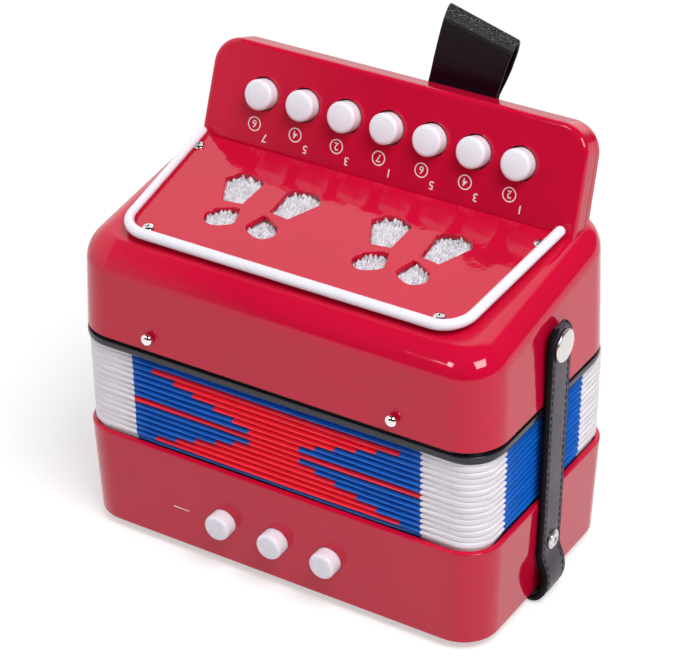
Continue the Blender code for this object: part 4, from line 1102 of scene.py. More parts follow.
    def back_cover(self) -> None:
        """Shapes the shallow tray that closes the keyboard's back."""
        inner, outer = -self.shell_depth - BODY.gap, -BODY.keyboard_depth
        cover = self.panel_block("keyboard_cover", 0.0, 0.0, outer, inner)
        with shaping(cover):
            for depth in (outer, inner):
                pick(cover, "VERT", lambda vert: vert.co.y < NEAR and abs(vert.co.z - depth) < NEAR)
                bpy.ops.transform.translate(value=(0, shoulder_up(-depth) + BODY.gap, 0))
            round_off(cover, lambda edge: level(edge, outer)
                      and max(vert.co.y for vert in edge.verts) > self.square_below, self.cover_round, 4)
        foot = shoulder_up(BODY.keyboard_depth) + self.wall
        hollow = self.panel_block("hollow", foot, self.wall, outer + self.cover_wall, inner + self.cover_wall)
        combine(cover, [hollow])
        x, up = self.post_at
        posts = [cylinder("post", self.post_radius, (side * x, up, outer + self.cover_wall / 2),
                          (side * x, up, inner), 20) for side in (-1, 1)]
        combine(cover, posts, Joining.FUSE)
        place(cover, BODY.panel)
        ride(self.palette.dress(soften(cover), "gloss_red"), "treble_body", "keyboard_back_cover")


@dataclass
class TrebleButtons:
    """Seven domed push buttons and the printed marks below them."""

    palette: Palette
    key_xs: Sequence[float] = TrebleCasing.key_xs
    radius: float = 0.0057
    proud: float = 0.0049
    tail: float = 0.0030
    round_width: float = 0.0020
    round_depth: float = 0.0015
    crown: float = 0.0003
    line: float = 0.00002
    lift: float = 0.00003
    ring_line: float = 0.00042
    ring_radius: float = 0.0025
    plain_height: float = 0.0030
    ringed_height: float = 0.0028
    plain_at: Point = (0.0030, 0.0026)
    ringed_at: Point = (-0.0019, 0.0069)
    digits: Sequence[str] = ("76", "54", "32", "17", "56", "34", "12")

    def build(self) -> None:
        """Turns one button and copies it to every place."""
        profile = [(self.radius, -self.tail), (self.radius, self.proud - self.round_depth)]
        inner = self.radius - self.round_width
        rim = self.proud - self.crown
        profile += [(inner + self.round_width * math.cos(a),
                     rim - (self.round_depth - self.crown) * (1 - math.sin(a))) for a in quarter(8, 1, 9)]
        profile += [(inner * 0.75, self.proud - 0.00013), (inner * 0.45, self.proud - 0.00004),
                    (inner * 0.1, self.proud)]
        where = BODY.panel @ Matrix.Translation((0, TrebleCasing.button_up, 0))
        first = turned("button_master", profile, where, 56)
        self.palette.dress(soften(first, 45), "satin_white")
        for number, x in enumerate(self.key_xs, 1):
            button = copy_piece(first, f"key_button_{number}", Matrix.Translation((x, 0, 0)))
            ride(button, f"treble_key_{number}", f"treble_button_{number}")
        discard(first)
        self.marks()

    def digit(self, text: str, height: float) -> Piece:
        """Sets a digit as a thin raised print, centred on the origin.

        Args:
            text: The digit.
            height: Its height.

        Returns:
            The print as a mesh.
        """
        put_down()
        bpy.ops.object.text_add()
        letter = bpy.context.object
        letter.data.body = text
        letter.data.size = height / 0.7
        letter.data.offset = height * 0.008
        letter.data.extrude = self.line
        letter.data.resolution_u = 6
        bpy.ops.object.convert(target="MESH")
        letter = name_new("digit")
        corners = [Vector(corner) for corner in letter.bound_box]
        middle = (min(corners, key=sum) + max(corners, key=sum)) / 2
        return place(letter, Matrix.Rotation(math.pi, 4, "Z") @ Matrix.Translation((-middle.x, -middle.y, 0)))

    def ring(self) -> Piece:
        """Turns a thin printed ring.

        Returns:
            The ring, round the origin.
        """
        inner, outer = self.ring_radius - self.ring_line / 2, self.ring_radius + self.ring_line / 2
        profile = [(inner, -self.line), (outer, -self.line), (outer, self.line), (inner, self.line)]
        put_down()
        bpy.ops.mesh.primitive_circle_add(vertices=48, radius=profile[0][0], location=(0, 0, profile[0][1]))
        piece = name_new("ring")
        with shaping(piece, "EDGE"):
            pick_all()
            for (before, low), (after, high) in zip(profile, profile[1:] + profile[:1]):
                bpy.ops.mesh.extrude_region_move(TRANSFORM_OT_translate={"value": (0, 0, high - low)})
                ratio = after / before
                bpy.ops.transform.resize(value=(ratio, ratio, 1), center_override=(0, 0, high))
            merge()
            face_out()
        return piece

    def marks(self) -> None:
        """Prints a plain and a ringed digit under each button, upside down as the player reads them."""
        prints = []
        for x, (plain, ringed) in zip(self.key_xs, self.digits):
            spots = [Matrix.Translation((x + right, up, 0)) for right, up in (self.plain_at, self.ringed_at)]
            prints.append(place(self.digit(plain, self.plain_height), spots[0]))
            prints.append(place(self.digit(ringed, self.ringed_height), spots[1]))
            prints.append(place(self.ring(), spots[1]))
        printed = place(gather("keyboard_marks", prints), BODY.panel @ Matrix.Translation((0, 0, self.lift)))
        with shaping(printed):
            merge()
        ride(self.palette.dress(printed, "print_white"), "treble_body")


# --- grille ---
@dataclass
class Grille:
    """Plate with fan-shaped sound holes, a white bead round it, and woven mesh below."""

    palette: Palette
    back_half: float = 0.0746
    front_half: float = 0.0688
    right_trim: float = 0.975
    reach: float = 0.0640
    start: float = 0.0022
    corner: float = 0.0109
    side_radius: float = 0.00155
    right_radius: float = 0.0019
    front_radius: float = 0.0020
    rise: float = 0.0023
    lift: float = 0.0012
    ledge_inset: float = 0.0008
    ledge_drop: float = 0.0005
    edge_round: float = 0.00042
    group_x: float = 0.0305
    group_shift: float = -0.0010
    cloth_half: float = 0.0572
    cloth_down: Point = (0.0148, 0.0532)
    cloth_body: float = 0.0003
    cloth_grid: tuple[int, int] = (320, 100)
    sag: float = 0.0009
    tuft_pitch: Point = (0.0014, 0.0030)
    tuft_sway: float = 0.0006
    tuft_rise: float = 0.0013
    open_rise: Point = (0.00036, 0.0011)
    peak_pitch: Point = (0.0012, 0.0019)
    peak_rise: float = 0.0013
    peak_reach: float = 0.0017
    cut: Point = (-0.002, 0.006)
    bead_step: float = 0.003
    curve_steps: int = 5
    corners: int = 3
    upper: Outline = ((0.0058, -0.0328), (0.0137, -0.0339), (0.0198, -0.0220), (0.0178, -0.0186),
                              (0.0140, -0.0170), (0.0095, -0.0176), (0.0052, -0.0204))
    lower: Outline = ((0.0050, -0.0359), (0.0068, -0.0361), (0.0132, -0.0396), (0.0146, -0.0430),
                              (0.0138, -0.0456), (0.0106, -0.0477), (0.0064, -0.0468), (0.0025, -0.0431))

    def route(self, inset: float, steps: int) -> list[Point]:
        """Edge of the grille from its right back corner round the front, in the top's frame.

        Args:
            inset: How far inside the bead's middle line it runs.
            steps: Segments of each front corner.

        Returns:
            The points.
        """
        back = Vector((self.back_half, -self.start))
        front = Vector((self.front_half, -self.reach))
        side = (front - back).normalized()
        inward = Vector((side.y, -side.x))
        back += inward * inset
        reach = self.reach - inset
        corner = back + side * ((-reach - back.y) / side.y)
        radius = self.corner - inset
        turn = math.acos(side.dot(Vector((-1, 0))))
        centre = corner - side * radius * math.tan(turn / 2) + inward * radius
        right = [back]
        for step in range(steps + 1):
            right.append(centre + Matrix.Rotation(-turn * step / steps, 2) @ (-inward) * radius)
        return [(p[0] * self.right_trim, p[1]) for p in right] + [(-p[0], p[1]) for p in reversed(right)]

    def petal(self, outline: Outline, group: int, side: int) -> list[Point]:
        """Outline of a sound hole that fans out from its foot, with a rounded tip.

        Args:
            outline: Its points beside the group's middle: first its corners, then those of a smooth curve.
            group: -1 for the left group, 1 for the right one.
            side: -1 for its left half, 1 for its right half.

        Returns:
            The outline in the top's frame.
        """
        spots = [Vector(point) for point in outline]
        arc = spots[self.corners - 1:] + [spots[0]]
        points = spots[:self.corners - 1]
        for index in range(len(arc) - 1):
            before, start = arc[max(0, index - 1)], arc[index]
            end, after = arc[index + 1], arc[min(len(arc) - 1, index + 2)]
            if index in (0, len(arc) - 2):
                points.append(start)
                continue
            for step in range(self.curve_steps):
                t = step / self.curve_steps
                bend = (2 * before - 5 * start + 4 * end - after) * t * t
                twist = (3 * start - before - 3 * end + after) * t ** 3
                points.append(0.5 * (2 * start + (end - before) * t + bend + twist))
        middle = self.group_shift + group * self.group_x
        return [(middle + side * point.x, point.y) for point in points]

    def openings(self) -> list[list[Point]]:
        """Outlines of all the sound holes."""
        return [self.petal(outline, group, side) for group in (-1, 1) for side in (-1, 1)
                for outline in (self.upper, self.lower)]

    def build(self) -> None:
        """Shapes the plate, the bead and the mesh."""
        outer, inner = (self.route(inset, 14) for inset in (self.ledge_inset, self.front_radius + BODY.gap))
        plate = slab("vent_plate", inner, BODY.gap, self.rise, BODY.top)
        ledge = slab("ledge", outer, BODY.gap, self.rise - self.ledge_drop, BODY.top)
        combine(plate, [ledge], Joining.FUSE)
        combine(plate, [slab("petal", opening, *self.cut, BODY.top) for opening in self.openings()])
        into = BODY.top.inverted()

        def at_front(edge: Edge) -> bool:
            """Whether an edge bounds the plate's upper face."""
            ends = [into @ vert.co for vert in edge.verts]
            return all(abs(end.z - self.rise) < 10 * NEAR for end in ends) and edge.calc_face_angle(0) > 0.5

        with shaping(plate, "EDGE"):
            round_off(plate, at_front, self.edge_round, 3)
        ride(self.palette.dress(soften(plate), "plate_red"), "treble_body", "grille_plate")
        self.bead()
        self.mesh()

    def bead(self) -> None:
        """Runs the white bead along the plate's sides and front, with round ends."""
        flat = self.route(0, 16)
        long_way = []
        for (x0, y0), (x1, y1) in zip(flat, flat[1:]):
            cuts = max(1, round(math.hypot(x1 - x0, y1 - y0) / self.bead_step))
            long_way += [(x0 + (x1 - x0) * i / cuts, y0 + (y1 - y0) * i / cuts) for i in range(cuts)]
        long_way.append(flat[-1])
        spine, radii = [], []
        for x, y in long_way:
            forward = min(1.0, max(0.0, (-y - self.reach + self.corner) / self.corner))
            side = self.side_radius if x < 0 else self.right_radius
            radii.append(side + (self.front_radius - side) * forward)
            spine.append(BODY.top @ Vector((x, y, self.rise + self.lift)))
        first, last = spine[0], spine[-1]
        ahead, behind = (first - spine[1]).normalized(), (last - spine[-2]).normalized()
        for a in quarter(6.2, 1, 7):
            right, left = self.right_radius * math.sin(a), self.side_radius * math.sin(a)
            spine = [first + ahead * right, *spine, last + behind * left]
            radii = [self.right_radius * math.cos(a), *radii, self.side_radius * math.cos(a)]
        bead = thread_line("vent_bead", spine, radii, 7)
        ride(self.palette.dress(soften(bead, 60), "satin_white"), "treble_body", "grille_trim")

    @staticmethod
    def within(x: float, y: float, outline: Outline) -> bool:
        """Whether a spot lies inside a closed outline.

        Args:
            x: The spot across.
            y: The spot along.
            outline: The outline's points.

        Returns:
            Whether it lies inside.
        """
        xs, ys = [at[0] for at in outline], [at[1] for at in outline]
        if not (min(xs) < x < max(xs) and min(ys) < y < max(ys)):
            return False
        inside = False
        for (ax, ay), (bx, by) in zip(outline, [*outline[1:], outline[0]]):
            if (ay > y) != (by > y) and x < ax + (y - ay) / (by - ay) * (bx - ax):
                inside = not inside
        return inside

    def mesh(self) -> None:
        """Stretches the woven mesh behind the plate, a little slack between its edges."""
        put_down()
        columns, rows = self.cloth_grid
        bpy.ops.mesh.primitive_grid_add(x_subdivisions=columns, y_subdivisions=rows, size=1)
        cloth = name_new("vent_mesh")
        half_x, high, low = self.cloth_half, -self.cloth_down[0], -self.cloth_down[1]
        openings = self.openings()
        for vert in cloth.data.vertices:
            u, v = vert.co.x * 2, vert.co.y * 2
            x, y = u * half_x, (low + high) / 2 + v * (high - low) / 2
            vert.co = (x, y, self.cloth_height(x, y, (1 - u ** 8) * (1 - v ** 8), openings))
        apply(cloth, "SOLIDIFY", thickness=self.cloth_body)
        place(cloth, BODY.top)
        ride(self.palette.dress(soften(cloth, 60), "white_mesh"), "treble_body", "grille_cloth")

    def cloth_height(self, x: float, y: float, free: float, openings: Sequence[Outline]) -> float:
        """How high the mesh stands at a spot: its threads rise in tufts, most of all in the sound holes.

        Args:
            x: The spot across the top.
            y: The spot up the top's slope.
            free: 0 where the edges hold the mesh, 1 in its middle.
            openings: Outlines of the sound holes.

        Returns:
            The height in the top's frame.
        """
        (wide, deep), (low, more) = self.tuft_pitch, self.open_rise
        at = Vector((x, y, 0)) * 450
        stray = Vector((noise.noise(at), noise.noise(at + Vector((9.7, 3.1, 5.3))), 0)) * self.tuft_sway
        upward = abs(math.sin((x + stray.x) * math.pi / wide))
        across = 0.7 * abs(math.sin((y + stray.y) * math.pi / deep))
        tuft = max(upward, across) ** 3 * (0.5 + 0.7 * noise.noise(Vector((x * 1.6, y * 0.7, 0.3)) * 600))
        height = -self.cloth_body - free * (self.sag - self.tuft_rise * tuft)
        over = next((opening for opening in openings if self.within(x, y, opening)), None)
        if over:
            height += low + more * max(0.0, tuft)
            wide, deep = self.peak_pitch
            at_far_wall = not self.within(x, y + self.peak_reach, over)
            if at_far_wall and noise.cell(Vector((x / wide, y / deep, 0.5))) > 0.42:
                height += self.peak_rise
        return min(height, self.rise - BODY.gap)


# --- bellows ---
@dataclass
class Bellows:
    """One pleated sleeve between the two ends, with a stepped pattern in three colours."""

    palette: Palette
    ridges: int = 15
    low_z: float = 0.0415
    high_z: float = 0.0787
    pitch: float = 0.0024
    half_x: float = 0.0833
    half_y: float = 0.0478
    flare: float = 0.0003
    corner: float = 0.0115
    depth: float = 0.0026
    corner_depth: float = 0.00036
    front_end: float = 0.0598
    side_front: float = -0.0311
    side_back: float = 0.0249
    steps_x: Sequence[float] = (0.0509, 0.0418, 0.0338, 0.0250, 0.0170, 0.0104)
    wall: float = 0.0005
    rows: int = 10
    steps: Point = (0.0045, 0.0050)
    side_middle: float = 0.014
    change: float = 0.0016
    tips: Point = (0.00040, 0.0011)
    left_tips: float = 1.9
    tuck: float = 0.0010
    tuck_below: float = 0.0440
    crest: Point = (1.7, 2.6)
    wander: float = 0.00010
    ripple: float = 0.00008
    slack: Point = (0.00015, 0.0001)
    held_end: float = 0.0004
    margin: float = 0.0006

    def columns(self) -> list[tuple[float, float, float, float, float, Vector]]:
        """Spaces points round the sleeve, with one on each line where the colour changes.

        Returns:
            Place, outward direction, corner share and reach of each point, in order.
        """
        marks = sorted({round(s * m, 6) for s in (-1, 1) for m in (*self.steps_x, self.front_end)} | {0.0})
        flat_x, flat_y = self.half_x - self.corner, self.half_y - self.corner
        front = [-flat_x, *[m for m in marks if abs(m) < flat_x], flat_x]
        front_step, side_step = self.steps
        spots = []
        for first, last in zip(front, front[1:]):
            cuts = max(1, round((last - first) / front_step))
            spots += [(first + (last - first) * i / cuts, -flat_y, 0.0, -1.0) for i in range(cuts)]
        spots += [(flat_x, -flat_y, math.sin(a), -math.cos(a)) for a in quarter(12, 0, 12)]
        edges = (flat_y, self.side_front, self.side_back, self.side_middle)
        side = sorted({sign * edge for edge in edges for sign in (-1, 1)} | {0.0})
        for first, last in zip(side, side[1:]):
            cuts = max(1, round((last - first) / side_step))
            spots += [(flat_x, first + (last - first) * i / cuts, 1.0, 0.0) for i in range(cuts)]
        half = spots + [(flat_x, flat_y, math.cos(a), math.sin(a)) for a in quarter(12, 0, 12)]
        ring = half + [(-x, -y, -nx, -ny) for x, y, nx, ny in half]
        out = []
        for x, y, nx, ny in ring:
            px, py = x + nx * self.corner, y + ny * self.corner
            on_front = abs(ny) > abs(nx)
            inside = self.front_end - abs(px) if on_front else min(py - self.side_front, self.side_back - py)
            ease = min(1.0, max(0.0, inside / self.change + 0.5))
            reach = Vector((0, 0))
            if abs(inside) < NEAR and on_front:
                reach = Vector((self.left_tips if px < 0 else -1, 0))
            elif abs(inside) < NEAR:
                reach = Vector((0, 1 if py < 0 else -1))
            out.append((px, py, nx, ny, 1 - ease, reach))
        return out

    def build(self) -> None:
        """Wraps the sleeve, colours its faces, gives it its thickness and hides the CAD folds that it
        replaces.
        """
        ring = self.columns()
        (proud, back), (blunt, sharp), (slack, corner_slack) = self.tips, self.crest, self.slack
        loops = []
        for row in range(round((self.high_z - self.low_z) / self.pitch * self.rows) + 1):
            t = row / self.rows
            z = self.low_z + self.pitch * t
            share = (z - self.low_z) / (self.high_z - self.low_z)
            from_crest = abs(2 * (t % 1.0) - 1)
            tip = proud - back * from_crest ** 4
            tuck = max(0.0, min(self.tuck, self.tuck_below - z))
            loop = []
            for index, (x, y, nx, ny, corner, reach) in enumerate(ring):
                x, y = x + reach.x * tip, y + reach.y * tip
                deep = from_crest ** (blunt + sharp * corner)
                depth = self.depth + (self.corner_depth - self.depth) * corner
                wander = self.wander * math.sin(index * 0.37 + math.floor(t) * 1.9) * (1 - deep)
                shift = self.flare * share - tuck - depth * deep - corner_slack * corner + wander - slack
                rise = self.ripple * math.sin(index * 0.21 + t * 0.9)
                loop.append(Vector((x + nx * shift, BODY.middle_y + y + ny * shift, z + rise)))
            loops.append(loop)
        piece = sleeve("bellows_sleeve", loops)
        self.colour(piece)
        apply(piece, "SOLIDIFY", thickness=self.wall, offset=-1)
        soften(piece, 50)
        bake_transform(piece)
        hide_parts("bellows_fold_1", "bellows_fold_2", "bellows_fold_3")
        LOG.info("%s blends with %d faces", piece.name, len(piece.data.polygons))

    def colour(self, piece: Piece) -> None:
        """Gives each face its colour by the pleat and the place that it lies on.

        Args:
            piece: The sleeve before it gets its thickness.
        """
        self.palette.dress(piece, "pleat_white", "pleat_blue", "pleat_red")
        for face in piece.data.polygons:
            x, y, z = face.center
            ridge = min(self.ridges, int((z - self.low_z) / self.pitch) + 1)
            face.material_index = self.shade(x, y - BODY.middle_y, ridge)

    def shade(self, x: float, y: float, ridge: int) -> int:
        """Which of the three colours a spot has: 0 white, 1 blue, 2 red.

        Args:
            x: The spot across.
            y: The spot's depth from the middle.
            ridge: The pleat that it lies on.

        Returns:
            Number of its colour.
        """
        if abs(x) > self.half_x - self.corner or abs(y) < self.half_y - self.corner:
            return 1 if self.side_front + self.margin < y < self.side_back - self.margin else 0
        if abs(x) > self.front_end - self.margin:
            return 0
        step = min(ridge, self.ridges + 1 - ridge) - 2
        if step < 0:
            return 1
        return 2 if step >= len(self.steps_x) or abs(x) < self.steps_x[step] else 1


@dataclass
class BellowsFrame:
    """Black frame and spigot that carry the treble casing, with a deep groove above the frame's rim."""

    palette: Palette
    low_z: float = 0.0796
    groove_z: float = 0.0821
    high_z: float = 0.0836
    spigot_z: float = 0.0939
    inset: float = 0.0002
    groove: float = 0.0014
    edge_round: float = 0.0004
    wall: float = 0.0022

    def build(self) -> None:
        """Shapes the flange with the groove above it and the spigot."""
        shelf = drafted_block("flange", self.inset, self.low_z, self.groove_z, 0.0, (0.015, 0.019))
        with shaping(shelf, "EDGE"):
            round_off(shelf, lambda edge: not upright(edge, NEAR), self.edge_round, 3)
        neck = drafted_block("neck", self.inset + self.groove, self.groove_z - 0.0005, self.high_z, 0.0,
                             (0.014, 0.018))
        combine(shelf, [neck], Joining.FUSE)
        inner = BODY.casing_wall + BODY.gap + 0.0002
        spigot = drafted_block("spigot", inner, self.high_z - 0.0004, self.spigot_z, 0.0, (0.0135, 0.0175))
        combine(shelf, [spigot], Joining.FUSE)
        hollow = drafted_block("hollow", inner + self.wall, self.low_z - 0.001, self.spigot_z + 0.001, 0.0,
                               (0.0115, 0.0155))
        combine(shelf, [hollow])
        combine(shelf, pin_holes(-1, 0.006) + pin_holes(1, 0.006))
        shelf.name = "black_flange"
        ride(self.palette.dress(soften(shelf), "satin_black"), "treble_body", "treble_bellows_frame")


# --- bass casing and buttons ---
@dataclass
class BassCasing:
    """Open tub with feet, button holes, vents in its floor, posts and axle supports."""

    palette: Palette
    corner: float = 0.0145
    wall: float = 0.0020
    rim_round: float = 0.0007
    floor_round: float = 0.0012
    button_xs: Sequence[float] = (-0.0214, 0.0008, 0.0230)
    button_z: float = 0.0203
    button_radius: float = 0.0051
    button_proud: float = 0.0055
    button_tail: float = 0.0066
    flange_radius: float = 0.0063
    flange_thick: float = 0.001
    stem_radius: float = 0.0020
    round_width: float = 0.0016
    round_depth: float = 0.0014
    axle_y: float = -0.0366
    axle_z: float = 0.0108
    support: Point = (0.0012, 0.0021)
    post_radius: float = 0.0030
    post_in: float = 0.0065
    pan_z: float = 0.0333
    foot_in: float = 0.016
    foot: Outline = ((0.0052, 0.0), (0.0057, 0.00025), (0.0060, 0.0008), (0.0060, 0.0040))
    vent_pitch: float = 0.012
    vent_half: Point = (0.0015, 0.015)
    hole_reach: Point = (-0.003, 0.004)
    line_xs: Point = (-0.0434, -0.0366)
    line_z: float = 0.0193
    line_half: float = 0.0002
    line_reach: Point = (-0.00003, 0.00001)

    def tub(self, name: str, inset: float, low: float, high: float, rounded: bool = False) -> Piece:
        """Shapes a drafted tub, wider at its rim.

        Args:
            name: The piece's name.
            inset: How far it is drawn in.
            low: Height of its floor.
            high: Height of its rim.
            rounded: Whether its outer edges are broken.

        Returns:
            The solid.
        """
        (top_x, top_y), (low_x, low_y) = (
            (BODY.width / 2 - BODY.base_lean(z) - inset, BODY.depth / 2 - BODY.base_lean(z) - inset)
            for z in (high, low))
        piece = block(name, (-top_x, BODY.middle_y - top_y, low), (top_x, BODY.middle_y + top_y, high))
        with shaping(piece, "EDGE"):
            round_off(piece, upright, self.corner - inset, 16)
            pick(piece, "VERT", lambda vert: vert.co.z < low + NEAR)
            bpy.ops.transform.resize(value=(low_x / top_x, low_y / top_y, 1),
                                     center_override=(0, BODY.middle_y, low))
            if rounded:
                round_off(piece, lambda edge: level(edge, high), self.rim_round, 4)
                round_off(piece, lambda edge: level(edge, low), self.floor_round, 5)
        return piece

    def build(self) -> None:
        """Shapes the casing and prints the line beside the air button."""
        floor = BODY.floor_z + self.wall
        casing = self.tub("base_tub", 0.0, BODY.floor_z, BODY.rim_z, True)
        combine(casing, [self.tub("hollow", self.wall, floor, BODY.rim_z + self.wall)])
        combine(casing, self.posts(floor), Joining.FUSE)
        reach = 2 * self.button_xs[2] - self.button_xs[1]
        combine(casing, [drill((-reach, self.axle_y, self.axle_z), (reach, self.axle_y, self.axle_z), 16)])
        combine(casing, self.openings(floor))
        ride(self.palette.dress(soften(casing), "gloss_red"), "root", "bass_casing")
        self.line()
        self.buttons()

    def posts(self, floor: float) -> list[Piece]:
        """Solids that stand on the floor or under it: pan posts, feet and axle supports.

        Args:
            floor: Height of the floor's upper side.

        Returns:
            The solids, sunk a little into the casing.
        """
        posts = []
        sunk = 0.001
        half_x = BODY.base_x(floor) - self.wall - self.post_in
        half_y = half_x - (BODY.width - BODY.depth) / 2
        for sx in (-1, 1):
            for sy in (-1, 1):
                at = (sx * half_x, BODY.middle_y + sy * half_y)
                posts.append(cylinder("post", self.post_radius, (*at, floor - sunk),
                                      (*at, self.pan_z - BODY.gap), 20))
                foot_x = sx * (BODY.width / 2 - self.foot_in)
                foot_y = BODY.middle_y + sy * (BODY.depth / 2 - self.foot_in)
                posts.append(turned("foot", self.foot, Matrix.Translation((foot_x, foot_y, 0)), 32))
        first, second = self.button_xs[:2]
        half_x, half_y = self.support
        for number in range(4):
            x = first + (number - 0.5) * (second - first)
            posts.append(block("post", (x - half_x, self.axle_y - half_y, floor - sunk),
                               (x + half_x, self.axle_y + half_y, self.axle_z + half_y)))
        return posts

    def openings(self, floor: float) -> list[Piece]:
        """Solids that cut the buttons' holes, the floor's vents and the strap screws' holes.

        Args:
            floor: Height of the floor's upper side.

        Returns:
            The solids.
        """
        out, into = (BODY.base_front_y(self.button_z) + reach for reach in self.hole_reach)
        holes = [cylinder("hole", self.button_radius + BODY.gap, (x, out, self.button_z),
                          (x, into, self.button_z), 40) for x in self.button_xs]
        half_x, half_y = self.vent_half
        for number in range(5):
            x, y = (number - 2) * self.vent_pitch, BODY.middle_y + BODY.depth / 4
            vent = block("vent", (x - half_x, y - half_y, 0), (x + half_x, y + half_y, floor + 0.002))
            with shaping(vent, "EDGE"):
                round_off(vent, upright, half_x - 0.00005, 5)
            holes.append(vent)
        x, z = BODY.base_x(BODY.strap_screw_z), BODY.strap_screw_z
        return holes + [drill((side * (x - 0.004), BODY.strap_y, z), (side * (x + 0.002), BODY.strap_y, z))
                        for side in (-1, 1)]

    def line(self) -> None:
        """Prints the short line that leads to the air button."""
        (left, right), z, half = self.line_xs, self.line_z, self.line_half
        out, into = (BODY.base_front_y(z) + reach for reach in self.line_reach)
        line = block("guide_line", (left, out, z - half), (right, into, z + half))
        ride(self.palette.dress(line, "print_white"), "root")

    def buttons(self) -> None:
        """Turns one bass button and copies it to every place."""
        front = BODY.base_front_y(self.button_z)
        back = front + self.wall + self.button_tail - BODY.gap
        tip = back - front + self.button_proud
        body, seat = self.button_radius, self.button_tail - 2 * BODY.gap
        profile = [(self.stem_radius, 0.0), (self.stem_radius, seat - self.flange_thick),
                   (self.flange_radius, seat - self.flange_thick), (self.flange_radius, seat), (body, seat),
                   (body, tip - self.round_depth)]
        profile += [(body - self.round_width * (1 - math.cos(a)), tip - self.round_depth * (1 - math.sin(a)))
                    for a in quarter(8, 1, 9)]
        profile += [(body * 0.5, tip), (body * 0.1, tip)]
        where = Matrix.Translation((0, back, self.button_z)) @ facing(Vector((0, -1, 0)))
        first = turned("base_button", profile, where, 48)
        self.palette.dress(soften(first, 40), "satin_white")
        for x, node in zip(self.button_xs, ("air_button", "bass_button_1", "bass_button_2")):
            button = copy_piece(first, f"base_{node}", Matrix.Translation((x, 0, 0)))
            ride(button, node, node)
        discard(first)


# --- straps ---
def along(points: Sequence[Vector], step: float) -> list[tuple[Vector, Vector, float]]:
    """Even steps along a path.

    Args:
        points: The path's points.
        step: Distance between two results.

    Returns:
        Place, outward normal and distance from the path's start.
    """
    length = sum((b - a).length for a, b in zip(points, points[1:]))
    count = round(length / step)
    found, index, gone = [], 0, 0.0
    for number in range(count + 1):
        want = length * number / count
        while index < len(points) - 2 and gone + (points[index + 1] - points[index]).length < want:
            gone += (points[index + 1] - points[index]).length
            index += 1
        a, b = points[index], points[index + 1]
        share = (want - gone) / (b - a).length
        found.append((a.lerp(b, min(1.0, share)), (b - a).normalized(), want))
    even = []
    for number, (spot, _, want) in enumerate(found):
        near = found[max(0, number - 1):number + 2]
        heading = sum((item[1] for item in near), Vector((0, 0))).normalized()
        even.append((spot, Vector((-heading.y, heading.x)), want))
    return even


def eased(points: Sequence[Vector]) -> list[Vector]:
    """Rounds a path's inner corners a little without moving its ends.

    Args:
        points: The path's points.

    Returns:
        The eased path.
    """
    path = list(points)
    for _ in range(2):
        cut = [path[0]]
        for a, b in zip(path, path[1:]):
            cut += [a.lerp(b, 0.2), a.lerp(b, 0.8)]
        path = [*cut, path[-1]]
    return path


